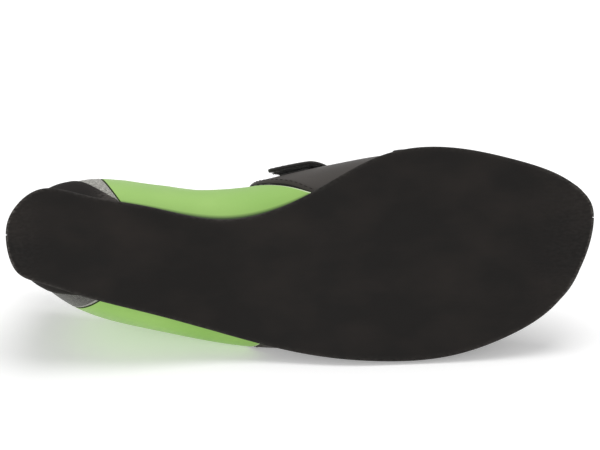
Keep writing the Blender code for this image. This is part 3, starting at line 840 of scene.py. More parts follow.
@dataclass(frozen=True)
class Rubber(Finish):
    """Moulded and buffed rubber: faint streaks along the shoe, a dull bloom in patches and scuffed rims; the
    paler scuffs also serve as a painted highlight at the heel band's ends.
    """

    # Colour of real scuffs on the sole, also painted on the heel band's ends as a highlight
    worn_and_lit: str = "#5d5955"
    streak: tuple = (26.0, 0.9, 0.9)
    patch: tuple = (38.0, 24.0, 24.0)
    nick: tuple = (2.2, 1.1, 1.1)
    evened: float = 0.15
    bloom: tuple = (0.42, 0.72)
    dusted: tuple = (0.2, 0.85)
    nicked: tuple = (0.35, 0.7)
    dust_weights: tuple = (0.6, 0.4)
    rough_weights: tuple = (0.12, 0.08, 0.10, 0.15)
    height_weights: tuple = (0.6, 0.4, 0.8)
    grain: float = 0.45
    depth: float = 0.035 * MM

    def material(self) -> bpy.types.Material:
        """Makes the material."""
        material, tree, shader, lay = self.start()
        streak = self.noise(tree, lay, self.streak, 3.0)
        grain = self.noise(tree, lay, (self.grain,) * 3, 2.0)
        patch = self.noise(tree, lay, self.patch, 3.0)
        nick = self.noise(tree, lay, self.nick, 3.0)
        dust = self.sum_of(tree, (self.ramp(tree, patch, *self.bloom), streak), self.dust_weights)
        shade = self.mix(tree, self.ramp(tree, dust, *self.dusted), self.colour, self.second)
        # Paler scuffs: real wear, and a painted highlight at the heel band's ends
        rubbed_and_painted_light = self.maths(tree, "MULTIPLY", self.wear_and_painted_light(tree), self.ramp(tree, nick, *self.nicked))
        tree.links.new(self.mix(tree, rubbed_and_painted_light, shade, self.worn_and_lit), shader.inputs["Base Color"])
        rough = self.sum_of(tree, (streak, grain, patch, rubbed_and_painted_light), self.rough_weights)
        rough = self.maths(tree, "ADD", rough, self.roughness - self.evened)
        tree.links.new(rough, shader.inputs["Roughness"])
        height = self.sum_of(tree, (streak, grain, rubbed_and_painted_light), self.height_weights)
        self.relief(tree, shader, height, self.depth)
        return material


@dataclass(frozen=True)
class Leather(Finish):
    """Smooth synthetic leather: a fine even grain, with painted shade along its foot where it meets the
    rubber.
    """

    shaded: str = "#1a1a1a"
    grain: float = 0.55
    fine: float = 0.3
    cloud: float = 30.0
    clouded: tuple = (0.3, 0.75)
    height_weights: tuple = (0.7, 0.3)
    depth: float = 0.05 * MM

    def material(self) -> bpy.types.Material:
        """Makes the material."""
        material, tree, shader, lay = self.start()
        inputs = {"Vector": lay, "Scale": 1 / self.grain}
        cells = add_node(tree, "ShaderNodeTexVoronoi", inputs, feature="SMOOTH_F1").outputs["Distance"]
        fine = self.noise(tree, lay, (self.fine,) * 3)
        cloud = self.noise(tree, lay, (self.cloud,) * 3)
        shade = self.mix(tree, self.ramp(tree, cloud, *self.clouded), self.colour, self.second)
        # Painted shade: darker along the panel's foot next to the sole
        shade = self.mix(tree, self.wear_and_painted_light(tree), shade, self.shaded)
        tree.links.new(shade, shader.inputs["Base Color"])
        height = self.sum_of(tree, (cells, fine), self.height_weights)
        self.relief(tree, shader, height, self.depth)
        return material


@dataclass(frozen=True)
class Woven(Finish):
    """A plain weave: threads over and under each other, in a pattern that follows the cloth."""

    pitch: tuple = (1.1, 1.1)
    fuzz: float = 0.35
    spots: float = 0.9
    spotted: tuple = (0.36, 0.64)
    shaded: tuple = (0.15, 0.85)
    fuzz_weight: float = 0.4
    height_weights: tuple = (0.75, 0.25)
    depth: float = 0.22 * MM
    mottle: float = 0.0
    # Colour of the painted shade along a panel's foot and over the heel cloth's lateral side
    painted_shade_colour: str = "#22211f"

    def material(self) -> bpy.types.Material:
        """Makes the material."""
        material, tree, shader, lay = self.start()
        parts = add_node(tree, "ShaderNodeSeparateXYZ", {0: lay})
        waves = []
        for axis in (0, 1):
            turned = self.maths(tree, "MULTIPLY", parts.outputs[axis], math.pi / self.pitch[axis])
            waves.append(self.maths(tree, "SINE", turned))
        over = self.ramp(tree, self.maths(tree, "MULTIPLY", *waves), -1.0, 1.0)
        fuzz = self.noise(tree, lay, (self.fuzz,) * 3, 3.0)
        spots = self.ramp(tree, self.noise(tree, lay, (self.spots,) * 3, 3.0), *self.spotted)
        height = self.sum_of(tree, (over, fuzz), self.height_weights)
        weights = (0.5 * (1 - self.mottle), self.fuzz_weight, self.mottle)
        share = self.sum_of(tree, (over, fuzz, spots), weights)
        shade = self.mix(tree, self.ramp(tree, share, *self.shaded), self.colour, self.second)
        # Painted shade along the panel's foot and over the heel cloth's lateral side
        shade = self.mix(tree, self.wear_and_painted_light(tree), shade, self.painted_shade_colour)
        tree.links.new(shade, shader.inputs["Base Color"])
        self.relief(tree, shader, height, self.depth)
        return material


@dataclass(frozen=True)
class Plain(Finish):
    """Thread, nylon hooks or a cut edge: one colour with a slight unevenness."""

    grain: float = 0.5
    shaded: tuple = (0.3, 0.7)
    depth: float = 0.03 * MM

    def material(self) -> bpy.types.Material:
        """Makes the material."""
        material, tree, shader, lay = self.start()
        fuzz = self.noise(tree, lay, (self.grain,) * 3, 2.0)
        shade = self.mix(tree, self.ramp(tree, fuzz, *self.shaded), self.colour, self.second)
        tree.links.new(shade, shader.inputs["Base Color"])
        self.relief(tree, shader, fuzz, self.depth)
        return material


# Carbon black rubber, ground and buffed: dark brown black, dull, with faint streaks lengthwise
SOLE_RUBBER = Rubber("buffed_sole_rubber", "#13100e", "#231e1b", 0.7, 0.27)
# Thinner sheet rubber, pressed on: as dark, with a slightly more even skin
RAND_RUBBER = Rubber("pressed_rand_rubber", "#141110", "#201c1a", 0.76, 0.2, grain=0.6)
# Polyurethane coated microfibre, bright green: fine grain, low gloss, and a dark green painted shade along
# its foot
GREEN_LEATHER = Leather("green_microfibre", "#94c35f", "#a0cb6a", 0.6, 0.3, 0.25, "#27400f")
# The same microfibre in black, which light turns a warm grey, with a near black painted shade along its foot
BLACK_LEATHER = Leather("black_microfibre", "#322d29", "#3c3632", 0.54, 0.47, 0.08, "#1b1917")
# Cut edge of the green microfibre, paler than its face, and brightened further as a painted highlight where
# the edge catches the light
CUT_EDGE_AND_HIGHLIGHT = Plain("cut_microfibre_edge_and_highlight", "#c4daa6", "#dbeac5", 0.8, 0.2)
# The same edge where it is turned under at the heel seam: in its own shadow
TURNED_EDGE = Plain("turned_microfibre_edge", "#26331a", "#3d4e28", 0.8, 0.2)
# Dark cut edge of the black microfibre where it rolls down into the seam, with painted shade of the groove
# there
DARK_EDGE_AND_SHADE = Plain("dark_microfibre_edge_and_shade", "#1a1918", "#262423", 0.7, 0.3)
# Melange knit with a spacer core: grey yarns in light and dark
HEEL_CLOTH = Woven("melange_knit", "#42403c", "#bcbbb3", 0.85, 0.2, 0.3, pitch=(0.6, 0.6), mottle=0.68)
# Folded edge of the knit, where its pale yarns show
PIPING = Plain("folded_knit_edge", "#6f6e69", "#b5b4ac", 0.85, 0.2, 0.3)
# Polyester webbing: coarse black threads
WEB_CLOTH = Woven("polyester_webbing", "#1a1817", "#363331", 0.72, 0.35, 0.25, pitch=(1.2, 0.9))
# Grosgrain tape, finely ribbed across
TAPE_CLOTH = Woven("grosgrain_tape", "#1b1a1a", "#302e2d", 0.75, 0.3, 0.2, pitch=(0.7, 2.4), depth=0.15 * MM)
# Brushed lining, light grey
LINING_CLOTH = Woven("brushed_lining", "#6f6f72", "#949495", 0.9, 0.2, 0.4, pitch=(0.8, 0.8), depth=0.12 * MM)
# Padded knit of the tongue, dark grey
TONGUE_CLOTH = Woven(
    "padded_knit", "#2f2f31", "#515153", 0.85, 0.2, 0.35, pitch=(1.3, 1.0), depth=0.3 * MM, mottle=0.3
)
# Pile of nylon loops, black
PILE = Plain("nylon_pile", "#131212", "#282626", 0.9, 0.2, 0.3, grain=0.3)
# Moulded nylon hooks, smoky black, which catch the light
HOOK_NYLON = Plain("nylon_hooks", "#2c2c2b", "#7c7c79", 0.3, 0.6)
# Polyester sewing thread: black, near black and pale grey
BLACK_THREAD = Plain("black_thread", "#1c1b1b", "#383635", 0.6, 0.4, grain=0.2)
# The same thread where it lies on the black panel, hardly darker than it
DARK_THREAD = Plain("dark_thread", "#282523", "#332f2c", 0.65, 0.3, grain=0.2)
PALE_THREAD = Plain("pale_thread", "#b9b8b0", "#d8d7d0", 0.65, 0.3, grain=0.2)


class Wardrobe:
    """Makes each finish's material once."""

    def __init__(self) -> None:
        """Starts with no material made."""
        self.made: dict[str, bpy.types.Material] = {}

    def __getitem__(self, finish: Any) -> bpy.types.Material:
        """The finish's material."""
        if finish.name not in self.made:
            self.made[finish.name] = finish.material()
        return self.made[finish.name]


WARDROBE = Wardrobe()


def surface_lay(rings: Array) -> Array:
    """Lengths over a grid of points, in millimetres, for patterns that follow it.

    Args:
        rings: Points as ring, place on the ring and coordinate.

    Returns:
        For each point its length along the rings' middle, along its own ring, and 0.
    """
    middle = rings[:, rings.shape[1] // 2]
    along = np.concatenate([[0.0], np.cumsum(np.linalg.norm(np.diff(middle, axis=0), axis=1))])
    steps = np.linalg.norm(np.diff(rings, axis=1), axis=2)
    up = np.concatenate([np.zeros((len(rings), 1)), np.cumsum(steps, axis=1)], axis=1)
    along = np.broadcast_to(along[:, None], up.shape)
    return np.stack([along, up, np.zeros_like(up)], -1) / MM


def shown(name: str, data: Any) -> bpy.types.Object:
    """Makes an object of this data and puts it in the scene."""
    piece = bpy.data.objects.new(name, data)
    bpy.context.scene.collection.objects.link(piece)
    return piece


def loft(
    name: str,
    rings: Array,
    finishes: Sequence[Finish],
    slots: Callable | None = None,
    closed: bool = False,
    lay: Array | None = None,
    wear_and_painted_light: Array | None = None,
    sharp: float = 42.0,
) -> bpy.types.Object:
    """Makes a closed piece through rings of points and lays it down.

    Args:
        name: The piece's name.
        rings: Upright points as ring, place on the ring and coordinate.
        finishes: Its finishes, one for each slot.
        slots: Gives the slot of each face, from arrays of its ring and its place on the ring.
        closed: Whether the last ring joins the first. Otherwise each end is capped across the ring.
        lay: The pattern's place at each point in millimetres. By default it is the upright point.
        wear_and_painted_light: The wear, painted highlight and painted shade at each point, from 0 to 1.
        sharp: The angle in degrees from which an edge stays sharp.

    Returns:
        The piece.
    """
    count, around = rings.shape[:2]
    index = np.arange(count * around).reshape(count, around)
    last = count if closed else count - 1
    first, second = index[:last], np.roll(index, -1, 0)[:last]
    faces = np.stack([first, np.roll(first, -1, 1), np.roll(second, -1, 1), second], -1).reshape(-1, 4)
    ring_of, place_of = np.divmod(np.arange(len(faces)), around)
    if not closed:
        half = np.arange(around // 2 - 1)
        for number in (0, count - 1):
            row = index[number]
            cap = np.stack([row[half], row[half + 1], row[-2 - half], row[-1 - half]], -1)
            faces = np.concatenate([faces, cap])
            ring_of = np.concatenate([ring_of, np.full(len(cap), min(number, count - 2))])
            place_of = np.concatenate([place_of, half])
    data = bpy.data.meshes.new(name)
    data.from_pydata(PLACEMENT.lay(rings.reshape(-1, 3)).tolist(), [], faces.tolist())
    if slots is not None:
        data.polygons.foreach_set("material_index", slots(ring_of, place_of).astype(np.int32))
    places = rings / MM if lay is None else lay
    attribute = data.attributes.new("lay", "FLOAT_VECTOR", "POINT")
    attribute.data.foreach_set("vector", places.reshape(-1).astype(np.float32))
    if wear_and_painted_light is not None:
        rubbed_and_painted_light = data.attributes.new("wear_and_painted_light", "FLOAT", "POINT")
        rubbed_and_painted_light.data.foreach_set("value", wear_and_painted_light.reshape(-1).astype(np.float32))
    mesh = bmesh.new()
    mesh.from_mesh(data)
    bmesh.ops.recalc_face_normals(mesh, faces=mesh.faces[:])
    mesh.to_mesh(data)
    mesh.free()
    data.shade_smooth()
    data.set_sharp_from_angle(angle=math.radians(sharp))
    for finish in finishes:
        data.materials.append(WARDROBE[finish])
    return shown(name, data)


def both_faces(outer: Array, inner: Array) -> Array:
    """Joins the two faces of a sheet into rings that go out along one and back along the other."""
    return np.concatenate([outer, inner[:, ::-1]], axis=1)


def sheet(name: str, outer: Array, inner: Array, finishes: Sequence[Finish], **settings: Any) -> Any:
    """Makes a sheet between two faces, with its pattern laid over the outer one."""
    face = surface_lay(outer)
    return loft(name, both_faces(outer, inner), finishes, lay=both_faces(face, face), **settings)


def fit(piece: bpy.types.Object, slot: str, *nodes: str) -> bpy.types.Object:
    """Rides a finished piece on the shoe and hides the solids that it stands for.

    Args:
        piece: The piece, laid down.
        slot: Not used.
        nodes: The solids that it stands for.

    Returns:
        The piece.
    """
    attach(piece, "root")
    if nodes:
        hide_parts(*nodes)
    log.info("%s: %d faces", piece.name, len(piece.data.polygons))
    return piece


class Line(NamedTuple):
    """A line or a scatter of upright points on a surface, with the way out of the surface at each."""

    points: Array
    outs: Array
    closed: bool = False


class Repeat:
    """A node tree that sets one small shape many times on a piece's points."""

    sizes: tuple = ()

    def __init__(self, name: str) -> None:
        """Starts the tree with its named inputs.

        Args:
            name: Its name.
        """
        self.tree = bpy.data.node_groups.new(name, "GeometryNodeTree")
        sockets = self.tree.interface
        sockets.new_socket(name="Geometry", in_out="INPUT", socket_type="NodeSocketGeometry")
        self.ids = {}
        for size in self.sizes:
            socket = sockets.new_socket(name=size, in_out="INPUT", socket_type="NodeSocketFloat")
            self.ids[size] = socket.identifier
        finish = sockets.new_socket(name="Finish", in_out="INPUT", socket_type="NodeSocketMaterial")
        self.ids["Finish"] = finish.identifier
        sockets.new_socket(name="Geometry", in_out="OUTPUT", socket_type="NodeSocketGeometry")
        self.start = add_node(self.tree, "NodeGroupInput")
        self.grow()

    def grow(self) -> None:
        """Adds the nodes between the inputs and the output."""
        raise NotImplementedError

    def facing(self, axis: str, vector: Any, turned: Any = (0.0, 0.0, 0.0), pivot: str = "AUTO") -> Any:
        """A rotation that turns an axis towards a vector, from another rotation on."""
        inputs = {"Rotation": turned, "Vector": vector}
        kind = "FunctionNodeAlignRotationToVector"
        return add_node(self.tree, kind, inputs, axis=axis, pivot_axis=pivot).outputs[0]

    def outward(self) -> Any:
        """The way out of the surface at each point."""
        kind = "GeometryNodeInputNamedAttribute"
        return add_node(self.tree, kind, {"Name": "out"}, data_type="FLOAT_VECTOR").outputs[0]

    def end(self, points: Any, shape: Any, turn: Any, scale: Any = (1.0, 1.0, 1.0)) -> None:
        """Ends the tree: the shape is set on the points, made real and given its finish.

        Args:
            points: The points' output.
            shape: The shape's output.
            turn: The rotation's output.
            scale: The scale, or its output.
        """
        place = add_node(self.tree, "GeometryNodeInputPosition")
        in_mm = add_node(
            self.tree, "ShaderNodeVectorMath", {0: place.outputs[0], "Scale": 1 / MM}, operation="SCALE"
        )
        marked = add_node(
            self.tree,
            "GeometryNodeStoreNamedAttribute",
            {"Geometry": shape, "Name": "lay", "Value": in_mm.outputs[0]},
            data_type="FLOAT_VECTOR",
            domain="POINT",
        )
        smooth = add_node(self.tree, "GeometryNodeSetShadeSmooth", {0: marked.outputs[0]})
        laid = add_node(
            self.tree,
            "GeometryNodeInstanceOnPoints",
            {"Points": points, "Instance": smooth.outputs[0], "Rotation": turn, "Scale": scale},
        )
        real = add_node(self.tree, "GeometryNodeRealizeInstances", {0: laid.outputs[0]})
        dressed = add_node(
            self.tree,
            "GeometryNodeSetMaterial",
            {"Geometry": real.outputs[0], "Material": self.start.outputs["Finish"]},
        )
        add_node(self.tree, "NodeGroupOutput", {0: dressed.outputs[0]})

    def make(self, name: str, lines: Sequence[Line], finish: Finish, joined: bool, **sizes: float) -> Any:
        """Runs the tree over lines of points and keeps the result as a plain mesh.

        Args:
            name: The new piece's name.
            lines: The lines.
            finish: The shapes' finish.
            joined: Whether a line's points are joined by edges.
            sizes: A value for each named size.

        Returns:
            The piece.
        """
        edges, first = [], 0
        for line in lines:
            count = len(line.points)
            if joined:
                edges += [(first + i, first + i + 1) for i in range(count - 1)]
                edges += [(first + count - 1, first)] if line.closed else []
            first += count
        data = bpy.data.meshes.new(name + "_places")
        data.from_pydata(PLACEMENT.lay(np.concatenate([line.points for line in lines])).tolist(), edges, [])
        outs = np.concatenate([line.outs for line in lines]) @ PLACEMENT.turned
        data.attributes.new("out", "FLOAT_VECTOR", "POINT").data.foreach_set("vector", outs.reshape(-1))
        piece = shown(name, data)
        modifier = piece.modifiers.new(name, "NODES")
        modifier.node_group = self.tree
        for size, value in sizes.items():
            modifier[self.ids[size]] = value
        modifier[self.ids["Finish"]] = WARDROBE[finish]
        evaluated = piece.evaluated_get(bpy.context.evaluated_depsgraph_get())
        mesh = bpy.data.meshes.new_from_object(evaluated)
        mesh.name = name
        piece.modifiers.clear()
        piece.data = mesh
        bpy.data.meshes.remove(data)
        return piece


class StitchRows(Repeat):
    """Rows of stitches along lines: each a short thread, round and sunk a little into the surface."""

    sizes = ("Spacing", "Length", "Thickness")

    def grow(self) -> None:
        """Sets stitches at an even spacing, along each line and flat on the surface."""
        tree, start = self.tree, self.start.outputs
        curve = add_node(tree, "GeometryNodeMeshToCurve", {"Mesh": start["Geometry"]})
        even = add_node(
            tree,
            "GeometryNodeResampleCurve",
            {"Curve": curve.outputs[0], "Length": start["Spacing"]},
            mode="LENGTH",
        )
        along = self.facing("X", add_node(tree, "GeometryNodeInputTangent").outputs[0])
        flat = self.facing("Z", self.outward(), along, "X")
        ball = add_node(tree, "GeometryNodeMeshUVSphere", {"Segments": 6, "Rings": 4, "Radius": 0.5})
        size = add_node(
            tree, "ShaderNodeCombineXYZ", {0: start["Length"], 1: start["Thickness"], 2: start["Thickness"]}
        )
        thread = add_node(
            tree, "GeometryNodeTransform", {"Geometry": ball.outputs["Mesh"], "Scale": size.outputs[0]}
        )
        self.end(even.outputs[0], thread.outputs[0], flat)


class BentThread(NamedTuple):
    """The shape that a field repeats: part of a ring of thread, each a little larger or smaller."""

    Radius: float
    Thread: float
    Sweep: float
    Unevenness: float


PILE_LOOP = BentThread(0.32 * MM, 0.09 * MM, math.pi, 0.35)
NYLON_HOOK = BentThread(0.375 * MM, 0.13 * MM, 0.85 * math.pi, 0.2)


class LoopField(Repeat):
    """A field of small bent threads on a surface, each turned its own way: hooks, or loops of pile."""

    sizes = BentThread._fields
    seed = 7
    arc_points = 7

    def grow(self) -> None:
        """Stands an arc on each point, turned and sized at random."""
        tree, start = self.tree, self.start.outputs
        arc = {"Resolution": self.arc_points, "Radius": start["Radius"], "Sweep Angle": start["Sweep"]}
        arc = add_node(tree, "GeometryNodeCurveArc", arc)
        section = {"Resolution": 4, "Radius": start["Thread"]}
        round_section = add_node(tree, "GeometryNodeCurvePrimitiveCircle", section)
        tube = add_node(
            tree,
            "GeometryNodeCurveToMesh",
            {"Curve": arc.outputs[0], "Profile Curve": round_section.outputs[0], "Fill Caps": True},
        )
        standing = add_node(
            tree, "GeometryNodeTransform", {"Geometry": tube.outputs[0], "Rotation": (math.pi / 2, 0.0, 0.0)}
        )
        chance = add_node(
            tree,
            "FunctionNodeRandomValue",
            {"Min": (-1.0, -1.0, -1.0), "Max": (1.0, 1.0, 1.0), "Seed": self.seed},
            data_type="FLOAT_VECTOR",
        )
        spun = self.facing("X", chance.outputs[0], self.facing("Z", self.outward()), "Z")
        kind = "ShaderNodeVectorMath"
        uneven = {0: chance.outputs[0], "Scale": start["Unevenness"]}
        uneven = add_node(tree, kind, uneven, operation="SCALE").outputs[0]
        scale = add_node(tree, kind, {0: uneven, 1: (1.0, 1.0, 1.0)}, operation="ADD").outputs[0]
        self.end(start["Geometry"], standing.outputs[0], spun, scale)


@dataclass
class Sewing:
    """Every row of stitches on the shoe, made by one tree."""

    spacing: float = 3.1 * MM
    length: float = 2.4 * MM
    thickness: float = 0.42 * MM
    sunk: float = 0.06 * MM
    rows: Any = None

    def sew(self, name: str, lines: Sequence[Line], finish: Finish, slot: str, fine: float = 1.0) -> None:
        """Sews lines on the shoe.

        Args:
            name: The new piece's name.
            lines: The lines to sew along.
            finish: The thread's finish.
            slot: The record's slot.
            fine: How long a stitch is against the usual one.
        """
        if self.rows is None:
            self.rows = StitchRows("stitch_rows")
        sizes = {"Spacing": self.spacing * fine, "Length": self.length * fine, "Thickness": self.thickness}
        fit(self.rows.make(name, lines, finish, True, **sizes), slot)


SEWING = Sewing()


@dataclass
class Sole:
    """The one-piece rubber outsole and the footbed on it."""

    ribs: int = 260
    strips: int = 56
    rounding: int = 6
    footbed_play: float = 0.5 * MM
    footbed_bevel: float = 1.2 * MM
    footbed_edge: tuple = ((0.0, 0.0), (0.0, 0.4), (0.5, 0.88), (1.0, 1.0))
    wall_shares: tuple = (0.45, 0.7)
    top_edge: tuple = ((0.0, 0.35 * MM), (0.1 * MM, 0.1 * MM), (0.35 * MM, 0.0))
    first_turn: float = 0.003
    gather: float = 0.1
    rubbed_rim: float = 1.1 * MM
    rubbed_heel: float = 14 * MM
    rubbed_toe: float = 22 * MM
    rim_rub: tuple = (0.25, 0.6, 0.5)
    face_rub: tuple = (0.10, 0.08)

    def rib_turns(self) -> Array:
        """Turns of the cross sections, closer at heel and toe."""
        half = np.linspace(0, 1, self.ribs)
        eased = half - self.gather * np.sin(2 * math.pi * half)
        return self.first_turn + (math.pi - 2 * self.first_turn) * eased

    def section(self, turns: Array, inset: Array, height: Array) -> Array:
        """Lines along the sole's edge on one side, at an inset and a height over the tread.

        Args:
            turns: The turns, negative on the medial side.
            inset: How far in from the edge.
            height: How far over the tread.

        Returns:
            The points.
        """
        plan = LAST.sole_edge(turns, np.full(len(turns), inset))
        return np.concatenate([plan, (LAST.tread_height(plan[:, 0]) + height)[:, None]], 1)

    def rings(self, profile: Sequence[tuple], top: float) -> Array:
        """Cross sections with a rounded lower edge.

        Args:
            profile: The edge's insets and heights, from the tread up.
            top: Height of the upper face.

        Returns:
            The rings.
        """
        turns = self.rib_turns()
        lateral = [self.section(turns, i, h) for i, h in profile]
        medial = [self.section(-turns, i, h) for i, h in profile]
        shares = np.linspace(0, 1, self.strips + 1)[None, :, None]
        under = medial[0][:, None] + (lateral[0] - medial[0])[:, None] * shares
        under[..., 2] = LAST.tread_height(under[..., 0]) + profile[0][1]
        over = medial[-1][:, None] + (lateral[-1] - medial[-1])[:, None] * shares
        over[..., 2] = LAST.tread_height(over[..., 0]) + top
        sides = [np.stack(lateral[1:-1], 1), over[:, ::-1], np.stack(medial[1:-1], 1)[:, ::-1]]
        return np.concatenate([under, *sides], 1)

    def wear_and_painted_light(self, rings: Array) -> Array:
        """How rubbed the sole is: along its rim, and most at the back of the heel and at the toe."""
        across = rings[..., 1]
        from_side = np.minimum(across - across.min(1, keepdims=True), across.max(1, keepdims=True) - across)
        x = rings[..., 0]
        from_end = np.minimum(from_side, np.minimum(x, LENGTH - x))
        rim = np.exp(-((from_end / self.rubbed_rim) ** 2))
        heel = np.exp(-((x / self.rubbed_heel) ** 2))
        toe = np.exp(-(((LENGTH - x) / self.rubbed_toe) ** 2))
        anywhere, at_heel, at_toe = self.rim_rub
        rim = rim * np.clip(anywhere + at_heel * heel + at_toe * toe, 0.0, 1.0)
        return rim + self.face_rub[0] * heel + self.face_rub[1] * toe

    def build(self) -> None:
        """Makes outsole and footbed."""
        angles = np.linspace(0, math.pi / 2, self.rounding)
        profile = [(OUTSOLE_ROUND * (1 - math.sin(a)), OUTSOLE_ROUND * (1 - math.cos(a))) for a in angles]
        profile += [(0.0, OUTSOLE * share) for share in self.wall_shares]
        profile += [(inset, OUTSOLE - down) for inset, down in self.top_edge]
        rings = self.rings(profile, OUTSOLE)
        outsole = loft("outsole_rubber", rings, [SOLE_RUBBER], wear_and_painted_light=self.wear_and_painted_light(rings))
        fit(outsole, "sole_rubber", "outsole")
        inset = FEATHER_INSET + UPPER_WALL + self.footbed_play
        low = OUTSOLE + SEAM_GAP
        profile = [(inset + self.footbed_bevel * b, low + INSOLE * t) for b, t in self.footbed_edge]
        footbed = loft("footbed", self.rings(profile, low + INSOLE), [LINING_CLOTH])
        fit(footbed, "lining_cloth", "insole")


class Side(Enum):
    """A side of the shoe, as the sign of its turns."""

    MEDIAL = -1
    LATERAL = 1


class SeamEdge(NamedTuple):
    """How a panel ends at a seam, in columns from the seam on: how far in and out each lies in millimetres.

    The first few columns, as many as rim says, have the finish of its edge.
    """

    insets: tuple
    outs: tuple
    rim: int


# The green panels lie on top with a cut edge, the black one rolls down to the seam, the knit has a pale fold
CUT = SeamEdge((0.0, 0.35, 0.85, 1.2), (-0.4, -0.06, 0.0, 0.0), 2)
TURNED = SeamEdge((0.0, 0.2, 0.5, 0.9), (-0.6, -0.3, -0.06, 0.0), 2)
ROLLED = SeamEdge((0.0, 0.3, 0.8, 1.6, 2.8), (-0.75, -0.6, -0.25, -0.06, 0.0), 1)
FOLDED = SeamEdge((0.0, 0.3, 0.45, 0.8, 1.15, 1.35, 2.2), (-0.65, -0.55, -0.15, 0.08, -0.05, -0.12, 0.0), 4)

# The folded tape's outside, from its hem to the shoe's edge, as rises and millimetres out from the skin
TAPE_OUTSIDE = (
    (0.924, -0.35),
    (0.926, 0.25),
    (0.931, 0.60),
    (0.945, 0.80),
    (0.970, 0.80),
    (0.986, 0.66),
    (0.996, 0.35),
    (1.0, -0.2),
)
# Its inside, as shares of the wall's depth and rises, and how deep and how high its inner hem is tucked
TAPE_INSIDE = (
    (0.72, 1.0),
    (0.92, 0.997),
    (1.0, 0.985),
    (1.0, 0.965),
    (1.0, 0.945),
    (0.86, 0.936),
    (0.6, 0.94),
)
TAPE_HEM = (0.6 * MM, 0.93)


